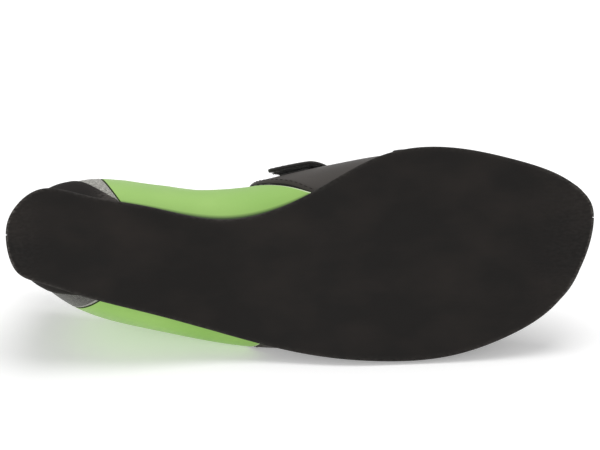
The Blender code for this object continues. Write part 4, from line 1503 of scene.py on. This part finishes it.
@dataclass
class Upper:
    """The hollow upper: a lined body, the panels over it and the tape round its opening."""

    rows: int = 64
    samples: int = 25
    heel_columns: int = 70
    quarter_columns: int = 56
    forepart_columns: int = 230
    body_turns: int = 320
    tape_turns: int = 360
    stitched_turns: int = 300
    panel_top: float = 0.945
    body_top: float = 0.965
    tape_stitch: float = 0.948
    panel_depth: float = 0.7 * MM
    panel_least: float = 0.05 * MM
    body_depth: float = 0.75 * MM
    body_tuck: float = 0.3 * MM
    tuck_rises: tuple = (0.90, 0.94)
    stitch_inset: float = 2.0 * MM
    fold_stitch: float = 1.0 * MM
    fold_fine: float = 0.7
    fold_lift: float = -0.1 * MM
    stitch_foot: float = 0.06
    fold_foot: float = 0.05
    stitch_clear: float = 0.02
    # Painted shade along the panels' foot next to the sole: full below the first height up the wall, gone
    # above the second
    foot_shade: tuple = (2.7 * MM, 3.9 * MM)
    # Painted shade over the lateral side of the heel cloth: the turns over which it comes in, and how strong
    # it is
    lateral_shade_turns: tuple = (0.1, 0.5)
    lateral_shade: float = 0.78
    girth: float = 95 * MM

    def rises(self) -> Array:
        """Rises of a panel's rows."""
        return np.linspace(0.0, self.panel_top, self.rows)

    def seam(self, table: Sequence[Border], side: Side, rises: Array) -> Array:
        """The turns of a seam at each rise.

        Args:
            table: The seam's borders.
            side: Which side of the shoe.
            rises: Where up the wall.

        Returns:
            The turns, negative on the medial side.
        """
        medial = side is Side.MEDIAL
        knots = np.array([b.rise for b in table])
        shares = np.array([b.medial if medial else b.lateral for b in table])
        x = LENGTH * spline_rows(knots, rises) @ shares
        return LAST.turn_at(x, rises, np.full(len(rises), medial))

    def panel(
        self,
        name: str,
        start: Array,
        end: Array,
        columns: int,
        edges: tuple[SeamEdge, SeamEdge],
        finishes: Sequence[Finish],
        flat: bool = False,
        lateral_shade: float = 0.0,
    ) -> bpy.types.Object:
        """Makes one panel between two seams.

        Args:
            name: Its name.
            start: Turns of its first seam, one for each row.
            end: Turns of its second seam.
            columns: How many columns lie between.
            edges: How it ends at each seam.
            finishes: The panel's finish and the finish of either edge.
            flat: Whether the pattern follows the surface, as on cloth.
            lateral_shade: How much painted shade it has on the lateral side.

        Returns:
            The panel.
        """
        rises = self.rises()
        spread = np.linspace(0, 1, self.samples)
        sample = LAST.skin(start[:, None] + (end - start)[:, None] * spread, rises[:, None])
        width = np.linalg.norm(np.diff(sample, axis=1), axis=2).sum(1)
        reach = [edge.insets[-1] * MM / width for edge in edges]
        shares = [inset * MM / width for inset in edges[0].insets]
        shares += [reach[0] + (1 - reach[0] - reach[1]) * s for s in np.linspace(0, 1, columns + 2)[1:-1]]
        shares += [1 - inset * MM / width for inset in reversed(edges[1].insets)]
        turn = np.array([start + (end - start) * share for share in shares])
        out = np.array([*edges[0].outs, *([0.0] * columns), *reversed(edges[1].outs)])[:, None] * MM
        outer = LAST.creased(turn, rises[None], out)
        inner = LAST.creased(turn, rises[None], np.minimum(-self.panel_depth, out - self.panel_least))
        rings = both_faces(outer, inner)
        lay = None
        if flat:
            face = surface_lay(outer)
            lay = both_faces(face, face)
        total = len(shares)

        def slots(ring: Array, place: Array) -> Array:
            """The slot of each seam's edge on the columns next to it."""
            return np.where(ring < edges[0].rim, 1, np.where(ring > total - 2 - edges[1].rim, 2, 0))

        # Painted shade: a dark line along the panel's foot next to the sole, and over the heel cloth's
        # lateral side
        foot = (1 - smooth_step(*self.foot_shade, rises * self.girth))[None]
        foot = np.maximum(foot, lateral_shade * smooth_step(*self.lateral_shade_turns, turn))
        return loft(name, rings, finishes, slots, lay=lay, wear_and_painted_light=both_faces(foot, foot))

    def body(self) -> bpy.types.Object:
        """The lined body under the panels."""
        turns = LAST.even_turns(self.body_turns)[:, None]
        rises = np.linspace(0.0, self.body_top, self.rows)[None]
        depth = LAST.wall_depth(turns, rises) - self.body_tuck * smooth_step(*self.tuck_rises, rises)
        outer = LAST.creased(turns, rises, -self.body_depth)
        inner = LAST.layer(turns, rises, -depth)

        def slots(ring: Array, place: Array) -> Array:
            """The lining's slot inside, the backing's outside."""
            return np.where(place < self.rows - 1, 0, 1)

        return sheet("upper_lining", outer, inner, [TAPE_CLOTH, LINING_CLOTH], slots=slots, closed=True)

    def binding(self) -> bpy.types.Object:
        """The tape folded over the edge of collar and throat."""
        turns = LAST.even_turns(self.tape_turns)
        columns = [LAST.layer(turns, rise, out * MM) for rise, out in TAPE_OUTSIDE]
        depth = LAST.wall_depth(turns, np.ones(len(turns)))
        columns += [LAST.layer(turns, rise, -depth * share) for share, rise in TAPE_INSIDE]
        deep, rise = TAPE_HEM
        columns.append(LAST.layer(turns, rise, -deep))
        rings = np.stack(columns, 1)
        return loft("collar_binding", rings, [TAPE_CLOTH], closed=True, lay=surface_lay(rings))

    def build(self) -> None:
        """Makes the body, the panels and the binding."""
        rises = self.rises()
        heel = {side: self.seam(HEEL_SEAM, side, rises) for side in Side}
        front = {side: self.seam(FRONT_SEAM, side, rises) for side in Side}
        fit(self.body(), "green_upper", "upper")
        ends = (heel[Side.MEDIAL], heel[Side.LATERAL])
        finishes = [HEEL_CLOTH, PIPING, PIPING]
        edges = (FOLDED, FOLDED)
        cloth = self.panel("heel_cloth", *ends, self.heel_columns, edges, finishes, True, self.lateral_shade)
        fit(cloth, "lining_cloth")
        for side, name in ((Side.MEDIAL, "medial_quarter"), (Side.LATERAL, "lateral_quarter")):
            finishes = [GREEN_LEATHER, TURNED_EDGE, CUT_EDGE_AND_HIGHLIGHT]
            ends = (heel[side], front[side])
            panel = self.panel(name, *ends, self.quarter_columns, (TURNED, CUT), finishes)
            fit(panel, "green_upper")
        ends = (front[Side.LATERAL], front[Side.MEDIAL] + 2 * math.pi)
        finishes = [BLACK_LEATHER, DARK_EDGE_AND_SHADE, DARK_EDGE_AND_SHADE]
        forepart = self.panel("forepart", *ends, self.forepart_columns, (ROLLED, ROLLED), finishes)
        fit(forepart, "green_upper")
        fit(self.binding(), "black_webbing")
        self.sew(heel, front)

    def beside(self, seam: Array, side: Side, inset: float, lift: float, low: float) -> Line:
        """A line on a panel beside a seam.

        Args:
            seam: The seam's turns, one for each row.
            side: Which side of the shoe.
            inset: How far towards the toe it lies, negative towards the heel.
            lift: How far out from the skin.
            low: Its lowest rise.

        Returns:
            The line.
        """
        rises = self.rises()
        x = LAST.skin(seam, rises)[:, 0] + inset
        turns = LAST.turn_at(x, rises, np.full(len(rises), side is Side.MEDIAL))
        kept = (rises >= low) & (rises <= BINDING_RISE - self.stitch_clear)
        turns, rises = turns[kept], rises[kept]
        return Line(LAST.creased(turns, rises, lift), LAST.normal(turns, rises))

    def sew(self, heel: dict, front: dict) -> None:
        """Sews the panels and the binding.

        Args:
            heel: The heel seam's turns on each side.
            front: The front seam's turns on each side.
        """
        place = (self.stitch_inset, -SEWING.sunk, self.stitch_foot)
        rows = [self.beside(front[side], side, *place) for side in Side]
        SEWING.sew("forepart_stitches", rows, DARK_THREAD, "black_webbing")
        place = (-self.fold_stitch, self.fold_lift, self.fold_foot)
        rows = [self.beside(heel[side], side, *place) for side in Side]
        SEWING.sew("fold_stitches", rows, PALE_THREAD, "lining_cloth", self.fold_fine)
        turns = LAST.even_turns(self.stitched_turns)
        rises = np.full(len(turns), self.tape_stitch)
        points = LAST.layer(turns, rises, EDGE_BINDING - SEWING.sunk)
        binding = Line(points, LAST.normal(turns, rises), True)
        SEWING.sew("binding_stitches", [binding], BLACK_THREAD, "black_webbing")


@dataclass
class Rands:
    """The rubber bands pressed on round toe and heel."""

    edge_round: float = 1.3 * MM
    corner: float = 9 * MM
    # A painted highlight at the heel band's ends, drawn as scuffs in the rubber's worn colour: how far it
    # reaches and how far in from the end it peaks
    end_scuff_highlight_reach: float = 6 * MM
    end_scuff_highlight_from: float = 3 * MM
    rubbed_top: float = 1.2 * MM
    top_rub: float = 0.25
    girth: float = 95 * MM
    rows: int = 22
    turn_step: float = 0.014
    end_turns: tuple = (0.0, 0.0008, 0.003, 0.007, 0.012)
    inner_turn: float = 0.02
    toe_drop: float = 0.4
    heel_drop: float = 0.05
    heel_end_scuff_highlight: float = 0.9
    sharp: float = 50.0
    foot_rise: float = 0.05
    top_steps: tuple = (0.0, 0.05, 0.2, 0.5, 0.9, 1.3)
    least_squeeze: float = 0.05
    least_thick: float = 0.12

    def band(
        self, name: str, start: float, end: float, tops: Sequence[BandTop], drop: float, end_scuff_highlight: float
    ) -> bpy.types.Object:
        """Makes one band from the sole to its top line, skived thin along that line.

        Args:
            name: Its name.
            start: The turn where it starts.
            end: The turn where it ends.
            tops: Its top line from heel to toe.
            drop: How much lower its top line is at either end, where its corners are rounded.
            end_scuff_highlight: How much its ends are lightened: a painted highlight, drawn as scuffs.

        Returns:
            The band.
        """
        top_line = RoundSpline([t.medial for t in tops], [t.lateral for t in tops])
        count = int((end - start) / self.turn_step)
        rim = np.array(self.end_turns)
        between = np.linspace(start + self.inner_turn, end - self.inner_turn, count)
        turns = np.concatenate([start + rim, between, (end - rim)[::-1]])
        foot = LAST.skin(turns, self.foot_rise)
        run = np.concatenate([[0.0], np.cumsum(np.linalg.norm(np.diff(foot, axis=0), axis=1))])
        from_end = np.minimum(run, run[-1] - run)
        top = top_line(turns) * (1 - drop * (1 - rounded(from_end, self.corner)))
        height = top * self.girth
        steps = np.array(self.top_steps) * MM
        squeeze = np.minimum(1.0, height / (3 * steps[-1]))
        down = steps[None] * squeeze[:, None]
        high = 1 - down / height[:, None]
        low = high[:, -1:] * np.linspace(0, 1, self.rows)[None, :-1]
        shares = np.concatenate([low, high[:, ::-1]], 1)
        rises = top[:, None] * shares
        from_top = (1 - shares) * height[:, None] / np.maximum(squeeze, self.least_squeeze)[:, None]
        full = rounded(from_top, self.edge_round) * rounded(from_end, self.edge_round)[:, None]
        skived = 1 - (1 - RAND_SKIVE) * smooth_step(0.5, 1.0, shares)
        thick = RAND * skived * (self.least_thick + (1 - self.least_thick) * full)
        inner = LAST.layer(turns[:, None], rises, SEAM_GAP)
        outer = LAST.layer(turns[:, None], rises, SEAM_GAP + thick)
        # Painted highlight near the band's ends, drawn as scuffs; real rubbing along its top line
        wear_and_painted_light = end_scuff_highlight * np.exp(-(((from_end[:, None] - self.end_scuff_highlight_from) / self.end_scuff_highlight_reach) ** 2))
        wear_and_painted_light = wear_and_painted_light + self.top_rub * np.exp(-((from_top / self.rubbed_top) ** 2))
        rings = both_faces(outer, inner)
        return loft(name, rings, [RAND_RUBBER], wear_and_painted_light=both_faces(wear_and_painted_light, wear_and_painted_light), sharp=self.sharp)

    def build(self) -> None:
        """Makes both bands."""
        toe_end = 2 * math.pi - turn_of_share(TOE_RAND_TO)
        toe_start = turn_of_share(TOE_RAND_FROM)
        toe = self.band("toe_rubber", toe_start, toe_end, TOE_RAND_TOP, self.toe_drop, 0.0)
        fit(toe, "rand_rubber", "toe_rand")
        start, end = -turn_of_share(HEEL_RAND_MEDIAL_END), turn_of_share(HEEL_RAND_LATERAL_END)
        heel = self.band("heel_rubber", start, end, HEEL_RAND_TOP, self.heel_drop, self.heel_end_scuff_highlight)
        fit(heel, "rand_rubber", "heel_rand")


@dataclass
class Closure:
    """The hook-and-loop strap over the tongue, its hooks and the pile patch that they hold."""

    columns: int = 40
    places: int = 190
    row_places: int = 60
    tape_rows: int = 44
    tape_columns: int = 34
    rim: tuple = (0.0, 0.1, 0.3, 0.6)
    first_inner: float = 1.0 * MM
    stitch_inset: float = 2.2 * MM
    sewn_box: float = 24 * MM
    selvedge: float = 0.8 * MM
    edge: float = 0.3
    tape_edge: float = 0.35
    tape_round: float = 0.7 * MM
    patch_ways: tuple = (-0.1, 0.3)
    binding_ways: tuple = (0.30, 0.40)
    lifted_way: float = 0.55
    row_start: float = 0.3
    fine: float = 0.9
    pile: float = 0.4 * MM
    pile_pitch: float = 0.95 * MM
    hook: float = 0.5 * MM
    hook_pitch: float = 1.25 * MM
    hook_start: float = 1.2 * MM
    hook_clear: float = 0.012

    def across_shares(self) -> Array:
        """Shares over the strap's width, closer at both selvedges."""
        rim = np.array(self.rim) * MM / STRAP_WIDTH
        first = self.first_inner / STRAP_WIDTH
        return np.concatenate([rim, np.linspace(first, 1 - first, self.columns), 1 - rim[::-1]])

    @staticmethod
    def strap_x(share: Array, way: Array = -1.0) -> Array:
        """How far along the shoe the strap lies at a share of its width, from its flared back edge."""
        narrower = STRAP_FLARE * (1 - share) * smooth_step(FREE_END, FREE_END + FLARE_WAY, way)
        return STRAP_MIDDLE + (share - 0.5) * STRAP_WIDTH + narrower

    def end_setback(self, share: Array) -> Array:
        """How far the strap's end stands back, as a rise: cut aslant, with round corners."""
        from_side = np.minimum(share, 1 - share) * STRAP_WIDTH
        cut = np.maximum(STRAP_CORNER - from_side, 0.0)
        corner = STRAP_CORNER - np.sqrt(STRAP_CORNER**2 - cut**2)
        return (corner + STRAP_SLANT * share**2) / MEDIAL_GIRTH

    def strap_lift(self, share: Array, way: Array) -> Array:
        """How far the strap's underside lies over the upper.

        Args:
            share: Where over the strap's width.
            way: Where over the instep.

        Returns:
            The lift.
        """
        over_patch = (PATCH + HOOK_TAPE + 2 * SEAM_GAP) * smooth_step(*self.patch_ways, -way)
        over_patch = over_patch * (1 - smooth_step(STRAP_FRONT_REST, 1.0, share))
        over_binding = EDGE_BINDING * (1 - smooth_step(*self.binding_ways, np.abs(way)))
        lift = SEAM_GAP + np.maximum(over_patch, over_binding)
        at_end = smooth_step(self.lifted_way, -FREE_END, -way)
        return lift + STRAP_END_LIFT * at_end * (1 - share) ** 2

    def strap(self) -> bpy.types.Object:
        """The webbing strap."""
        share = self.across_shares()[None]
        rim = np.array(self.rim) * MM * PER_WAY
        start = FREE_END + (1 - THROAT_WAY) * self.end_setback(share)
        low, high = start + self.first_inner * PER_WAY, SEWN_END - self.first_inner * PER_WAY
        ways = [start + d for d in rim]
        ways += [low + (high - low) * t for t in np.linspace(0, 1, self.places)[1:-1]]
        ways += [SEWN_END - d + 0 * share for d in rim[::-1]]
        way = np.concatenate(ways, 0)
        share = np.broadcast_to(share, way.shape)
        x = self.strap_x(share, way)
        side = np.minimum(share, 1 - share) * STRAP_WIDTH
        end = np.minimum(way - start, SEWN_END - way) / PER_WAY
        full = rounded(side, self.selvedge) * rounded(end, self.selvedge)
        full = self.edge + (1 - self.edge) * full
        lift = self.strap_lift(share, way) + STRAP / 2
        outer = LAST.across(x, way, lift + full * STRAP / 2)
        inner = LAST.across(x, way, lift - full * STRAP / 2)
        return sheet("strap_webbing", outer, inner, [WEB_CLOTH])

    def follow(self, x: Array, rises: Array) -> Array:
        """How much further forward the strap lies at places on the wall, because its free end is flared."""
        share = (x - self.strap_x(0.0)) / STRAP_WIDTH
        return self.strap_x(share, -1 + (1 - THROAT_WAY) * rises) - self.strap_x(share)

    def strap_row(self, share: Array, way: Array) -> Line:
        """A line on the strap's face, through shares of its width and ways over the instep."""
        lift = self.strap_lift(share, way) + STRAP
        points = LAST.across(self.strap_x(share, way), way, lift - SEWING.sunk)
        outs = points - LAST.across(self.strap_x(share, way), way, lift - STRAP)
        return Line(points, outs / np.linalg.norm(outs, axis=1, keepdims=True))

    def sew(self) -> None:
        """Sews both selvedges, the free end and a crossed box at the sewn end."""
        t = np.linspace(0, 1, self.row_places)
        near, far = self.stitch_inset / STRAP_WIDTH, 1 - self.stitch_inset / STRAP_WIDTH
        end = FREE_END + (1 - THROAT_WAY) * self.end_setback(t) + self.stitch_inset * PER_WAY
        last, box = SEWN_END - self.stitch_inset * PER_WAY, SEWN_END - self.sewn_box * PER_WAY
        across = near + (far - near) * t
        rows = [self.strap_row(across, np.interp(across, t, end))]
        for share in (near, far):
            first = float(np.interp(share, t, end))
            rows.append(self.strap_row(share + 0 * t, first + (last - first) * t))
        rows += [self.strap_row(across, way + 0 * t) for way in (last, box)]
        rows += [self.strap_row(side, last + (box - last) * t) for side in (across, across[::-1])]
        SEWING.sew("strap_stitches", rows, BLACK_THREAD, "black_webbing", self.fine)

    def tape(
        self, name: str, start: float, low: Array, high: float, lift: float, thick: float, finish: Finish
    ) -> bpy.types.Object:
        """Makes a flat tape on the medial side, as far forward as the strap lies on it.

        Args:
            name: Its name.
            start: How far it starts from the strap's back edge.
            low: Its lowest rise, one for each of its columns.
            high: Its highest rise.
            lift: How far over the upper it lies.
            thick: Its thickness.
            finish: Its finish.

        Returns:
            The tape.
        """
        back, front = self.strap_x(0.0) + start, self.strap_x(STRAP_FRONT_REST)
        x = np.linspace(back, front, len(low))[:, None]
        rises = low[:, None] + (high - low[:, None]) * np.linspace(0, 1, self.tape_rows)[None]
        x, rises = np.broadcast_arrays(x, rises)
        from_side = np.minimum(x - back, front - x)
        x = x + self.follow(x, rises) * (start < PATCH_SETBACK)
        turns = LAST.turn_at(x, rises, np.full(x.shape, True))
        from_side = np.minimum(from_side, np.minimum(rises - low[:, None], high - rises) * MEDIAL_GIRTH)
        full = self.tape_edge + (1 - self.tape_edge) * rounded(from_side, self.tape_round)
        outer = LAST.layer(turns, rises, lift + thick * full)
        return sheet(name, outer, LAST.layer(turns, rises, lift), [finish])

    def field(self, start: float, low: Array, high: float, lift: float, pitch: float, down: bool) -> Line:
        """An even scatter of points over a tape.

        Args:
            start: How far the tape starts from the strap's back edge.
            low: The tape's lowest rise, one for each of its columns.
            high: Its highest rise.
            lift: How far over the upper the points lie.
            pitch: How far apart they lie.
            down: Whether they face the upper.

        Returns:
            The points and the way that each faces.
        """
        back, front = self.strap_x(0.0) + start, self.strap_x(STRAP_FRONT_REST)
        columns = int((front - back) / pitch)
        x = np.linspace(back + pitch / 2, front - pitch / 2, columns)
        lows = np.interp(x, np.linspace(back, front, len(low)), low) + pitch / 2 / MEDIAL_GIRTH
        rows = int((high - low.min()) * MEDIAL_GIRTH / pitch)
        rises = lows[:, None] + (high - lows[:, None]) * (np.arange(rows) + self.row_start)[None] / rows
        x = np.broadcast_to(x[:, None], rises.shape).reshape(-1)
        rises = rises.reshape(-1)
        x = x + self.follow(x, rises) * (start < PATCH_SETBACK)
        turns = LAST.turn_at(x, rises, np.full(len(x), True))
        outs = LAST.normal(turns, rises)
        return Line(LAST.layer(turns, rises, lift), -outs if down else outs)

    def build(self) -> None:
        """Makes strap, hook tape and pile patch."""
        fit(self.strap(), "black_webbing", "strap")
        self.sew()
        loops = LoopField("loop_field")
        columns = np.linspace(0, 1, self.tape_columns)
        low = np.full(self.tape_columns, PATCH_RISES[0])
        ground = PATCH - self.pile
        patch = self.tape("pile_patch", PATCH_SETBACK, low, PATCH_RISES[1], SEAM_GAP, ground, PILE)
        fit(patch, "black_webbing", "loop_patch")
        scatter = self.field(PATCH_SETBACK, low, PATCH_RISES[1], SEAM_GAP + ground, self.pile_pitch, False)
        pile = loops.make("pile_loops", [scatter], PILE, False, **PILE_LOOP._asdict())
        fit(pile, "black_webbing")
        share = (self.hook_start + (STRAP_WIDTH * STRAP_FRONT_REST - self.hook_start) * columns) / STRAP_WIDTH
        low = np.maximum(HOOK_RISES[0], STRAP_END_RISE + self.end_setback(share) + self.hook_clear)
        lift = PATCH + 2 * SEAM_GAP + self.hook
        backing = HOOK_TAPE - self.hook
        tape = self.tape("hook_backing", self.hook_start, low, HOOK_RISES[1], lift, backing, WEB_CLOTH)
        fit(tape, "black_webbing", "hook_tape")
        scatter = self.field(self.hook_start, low, HOOK_RISES[1], lift, self.hook_pitch, True)
        hooks = loops.make("nylon_hooks", [scatter], HOOK_NYLON, False, **NYLON_HOOK._asdict())
        fit(hooks, "black_webbing")


@dataclass
class Tongue:
    """The padded tongue under the throat, from its tuck below the forepart to its tip above the collar."""

    ways: int = 45
    stations: int = 150
    edge_column: int = 4
    sewn_from: int = 6
    sewn_to: int = 9
    end_stations: float = 6.0
    run: tuple = (0.625, 0.410)
    coarse: int = 9
    widens: tuple = (0.41, 0.55)
    half_ways: tuple = (0.05, 0.25)
    tuck_shares: tuple = (1.0, 0.5)
    tip_bends: float = 0.45
    tip_flattens: float = 0.6
    tip_bow: float = 0.85
    side_round: float = 0.16
    side_fill: float = 0.25
    end_fill: float = 0.4
    channels: tuple = (-0.45, 0.0, 0.45)
    channel_width: float = 0.035
    channel_depth: float = 0.22

    def coarse_rings(self) -> Array:
        """Rings of the tongue's form, some 5 mm apart."""
        share = np.linspace(-1, 1, self.ways)[None]
        along = np.linspace(*self.run, self.coarse)[:, None]
        x = along * LENGTH
        narrow, wide = self.half_ways
        under_edge = narrow + (wide - narrow) * smooth_step(*self.widens, along)
        half = THROAT_WAY + (1 - THROAT_WAY) * under_edge
        way = half * share
        x = np.broadcast_to(x, way.shape)
        top = LAST.across(x, way, -UPPER_WALL - SEAM_GAP)
        under = LAST.across(x, way, -UPPER_WALL - SEAM_GAP - TONGUE)
        rings = both_faces(top, under)
        front, back = rings[0], rings[-1]
        toe_way = (front - rings[1]).mean(0)
        toe_way *= TONGUE_TUCK / np.linalg.norm(toe_way)
        toe_way[2] -= TONGUE_TUCK_DROP
        tucked = [front + toe_way * share for share in self.tuck_shares]
        top, under = back[: self.ways], back[self.ways :][::-1]
        arch = (top + under) / 2 - back.mean(0)
        half_bulk = (top - under) / 2
        tip = []
        place, reached = back.mean(0), 0.0
        for reach, width, bulk in TONGUE_TIP_SHAPE:
            pitch = TONGUE_PITCH * float(smooth_step(0.0, self.tip_bends, reach))
            place = place + TONGUE_TIP * (reach - reached) * np.array([-math.cos(pitch), 0, math.sin(pitch)])
            reached = reach
            flat = self.tip_bow * float(smooth_step(0.0, self.tip_flattens, reach))
            bow = arch * np.array([1, width, 1 - flat])
            local = np.concatenate([bow + half_bulk * bulk, (bow - half_bulk * bulk)[::-1]])
            lean = np.array([local[:, 2] * math.sin(pitch), local[:, 1], local[:, 2] * math.cos(pitch)]).T
            tip.append(place + lean)
        return np.array([*tucked, *rings, *tip])

    def build(self) -> None:
        """Makes the tongue with rounded sides and sewn channels."""
        rings = refine(self.coarse_rings(), self.stations)
        top, under = rings[:, : self.ways], rings[:, self.ways :][:, ::-1]
        share = np.linspace(-1, 1, self.ways)[None, :, None]
        middle, half = (top + under) / 2, (top - under) / 2
        side = rounded(1 - np.abs(share), self.side_round)
        station = np.arange(self.stations)
        ends = rounded(np.minimum(station, station[::-1]), self.end_stations)
        sewn = sum(np.exp(-(((share - c) / self.channel_width) ** 2)) for c in self.channels)
        fill = (self.side_fill + (1 - self.side_fill) * side) * (1 - self.channel_depth * sewn)
        fill = fill * (self.end_fill + (1 - self.end_fill) * ends[:, None, None])
        outer, inner = middle + half * fill, middle - half * fill
        tongue = sheet("tongue_pad", outer, inner, [TONGUE_CLOTH])
        fit(tongue, "tongue_cloth", "tongue")
        outs = outer - inner
        outs = outs / np.linalg.norm(outs, axis=2, keepdims=True)
        end = self.stations - self.sewn_to
        sides = (self.edge_column, self.ways - 1 - self.edge_column)
        places = [(slice(self.sewn_from, end + 1), column) for column in sides]
        places.append((end, slice(self.edge_column, self.ways - self.edge_column)))
        rows = [Line(outer[place] - SEWING.sunk * outs[place], outs[place]) for place in places]
        SEWING.sew("tongue_stitches", rows, BLACK_THREAD, "tongue_cloth")


@dataclass
class PullLoop:
    """The webbing loop at the back of the collar: a leg on either face, the outer one sewn, and a bulb for a
    finger above.
    """

    columns: int = 16
    leg_steps: int = 22
    bulb_steps: int = 44
    rim: tuple = (0.0, 0.15, 0.4)
    selvedge: float = 0.7 * MM
    edge: float = 0.3
    over_tape: tuple = (0.905, 0.925)
    search: float = 0.5
    search_places: int = 81
    fine: float = 0.6
    tacks: tuple = (1, 3, 5, 7)

    def line(self, turn: float) -> Array:
        """One line of the loop's lower face, up the outside, over the bulb and down the inside."""
        rises = np.linspace(LOOP_FOOT, 1.0, self.leg_steps)
        lifts = SEAM_GAP + EDGE_BINDING * smooth_step(*self.over_tape, rises)
        line = LAST.layer(np.full(len(rises), turn), rises, lifts)
        rises = rises[::-1]
        depth = LAST.wall_depth(np.full(len(rises), turn), rises)
        inside = LAST.layer(np.full(len(rises), turn), rises, -depth - SEAM_GAP)
        foot = (line[-1] + inside[0]) / 2
        half_neck = (inside[0][0] - line[-1][0]) / 2
        lean = math.acos(half_neck / LOOP_BULB)
        centre = foot + np.array([0, 0, LOOP_HEIGHT * math.sin(lean) + SEAM_GAP])
        angles = np.linspace(math.pi + lean, -lean, self.bulb_steps)
        bulb = centre + np.stack([LOOP_BULB * np.cos(angles), 0 * angles, LOOP_HEIGHT * np.sin(angles)], 1)
        return np.concatenate([line, bulb, inside])

    def build(self) -> None:
        """Makes the loop."""
        near = np.linspace(-self.search, self.search, self.search_places)
        sides = LAST.edge.at(near)[:, 1]
        middle = float(LAST.edge.at(np.array(0.0))[1])
        rim = np.array(self.rim) * MM / LOOP_WIDTH
        first = self.selvedge / LOOP_WIDTH
        shares = np.concatenate([rim, np.linspace(first, 1 - first, self.columns), 1 - rim[::-1]])
        turns = np.interp(middle + (shares - 0.5) * LOOP_WIDTH, sides, near)
        lines = np.stack([self.line(float(t)) for t in turns], 1)
        way = np.gradient(lines, axis=0)
        normal = np.stack([-way[..., 2], 0 * way[..., 0], way[..., 0]], -1)
        normal /= np.linalg.norm(normal, axis=-1, keepdims=True)
        from_side = np.minimum(shares, 1 - shares) * LOOP_WIDTH
        full = (self.edge + (1 - self.edge) * rounded(from_side, self.selvedge))[None, :, None]
        heart = lines + normal * WEBBING / 2
        outer, lower = heart + normal * full * WEBBING / 2, heart - normal * full * WEBBING / 2
        fit(sheet("pull_loop_webbing", outer, lower, [WEB_CLOTH]), "black_webbing", "pull_loop")
        rows = []
        for step in self.tacks:
            points, outs = outer[step, 3:-3] - SEWING.sunk * normal[step, 3:-3], normal[step, 3:-3]
            rows.append(Line(points, outs))
        SEWING.sew("pull_loop_stitches", rows, BLACK_THREAD, "black_webbing", self.fine)


class Lamp(NamedTuple):
    """A square soft light: the way to it, how far off it hangs, its side and its power in watts."""

    name: str
    way: tuple
    distance: float
    size: float
    power: float


LAMPS = (
    Lamp("overhead", (0.1, 0.25, 1.0), 1.4, 1.2, 12.5),
    Lamp("front", (-0.3, -1.0, 0.35), 2.0, 1.4, 7.0),
)


@dataclass
class Studio:
    """The pale floor, the soft lights and the camera."""

    floor_size: float = 12.0
    floor_glow: float = 0.3
    floor_shade: float = 0.9
    floor_roughness: float = 0.9
    floor_specular: float = 0.1
    sky: float = 0.44
    lens: float = 200.0
    sensor: float = 36.0
    frame_width: float = 269.5 * MM
    aim: tuple = (132.5 * MM, -9.0 * MM, 0.0)

    def floor(self) -> None:
        """Lays the floor under the shoe."""
        half = self.floor_size / 2
        corners = [(-half, -half, 0), (half, -half, 0), (half, half, 0), (-half, half, 0)]
        data = bpy.data.meshes.new("floor")
        data.from_pydata(corners, [], [(0, 1, 2, 3)])
        material = bpy.data.materials.new("matt_white_floor")
        material.use_nodes = True
        shader = material.node_tree.nodes["Principled BSDF"]
        shader.inputs["Base Color"].default_value = (*[self.floor_shade] * 3, 1)
        shader.inputs["Roughness"].default_value = self.floor_roughness
        shader.inputs["Specular IOR Level"].default_value = self.floor_specular
        shader.inputs["Emission Color"].default_value = (1, 1, 1, 1)
        shader.inputs["Emission Strength"].default_value = self.floor_glow
        data.materials.append(material)
        shown("floor", data)

    def light(self, lamp: Lamp) -> None:
        """Hangs a lamp.

        Args:
            lamp: What it is and where it hangs.
        """
        data = bpy.data.lights.new(lamp.name, "AREA")
        data.shape = "SQUARE"
        data.size = lamp.size
        data.energy = lamp.power
        piece = shown(lamp.name, data)
        way = Vector(lamp.way)
        piece.location = way.normalized() * lamp.distance
        piece.rotation_mode = "QUATERNION"
        piece.rotation_quaternion = way.to_track_quat("Z", "Y")

    def camera(self) -> None:
        """Aims the camera straight at the sole, with the toe to the right and the medial side up."""
        right, up, back = (PLACEMENT.way(v) for v in ((1, 0, 0), (0, -1, 0), (0, 0, -1)))
        target = Vector(PLACEMENT.lay(np.array(self.aim)))
        distance = self.frame_width * self.lens / self.sensor
        data = bpy.data.cameras.new("camera")
        data.lens = self.lens
        data.sensor_width = self.sensor
        camera = shown("camera", data)
        turn = Matrix((right, up, back)).transposed().to_4x4()
        camera.matrix_world = Matrix.Translation(target + back * distance) @ turn
        bpy.context.scene.camera = camera

    def build(self) -> None:
        """Sets up the studio."""
        self.camera()
        self.floor()
        world = bpy.data.worlds.new("studio")
        world.use_nodes = True
        background = world.node_tree.nodes["Background"]
        background.inputs["Color"].default_value = (1, 1, 1, 1)
        background.inputs["Strength"].default_value = self.sky
        bpy.context.scene.world = world
        for lamp in LAMPS:
            self.light(lamp)
        bpy.context.scene.view_settings.view_transform = "Standard"


def main() -> None:
    """Builds the studio and the shoe's sub-assemblies in order."""
    logging.basicConfig(level=logging.INFO, format="%(name)s %(message)s")
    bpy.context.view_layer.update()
    for assembly in (Studio(), Sole(), Upper(), Rands(), Closure(), Tongue(), PullLoop()):
        assembly.build()
        log.info("%s is built", type(assembly).__name__)


if __name__ == "__main__":
    main()
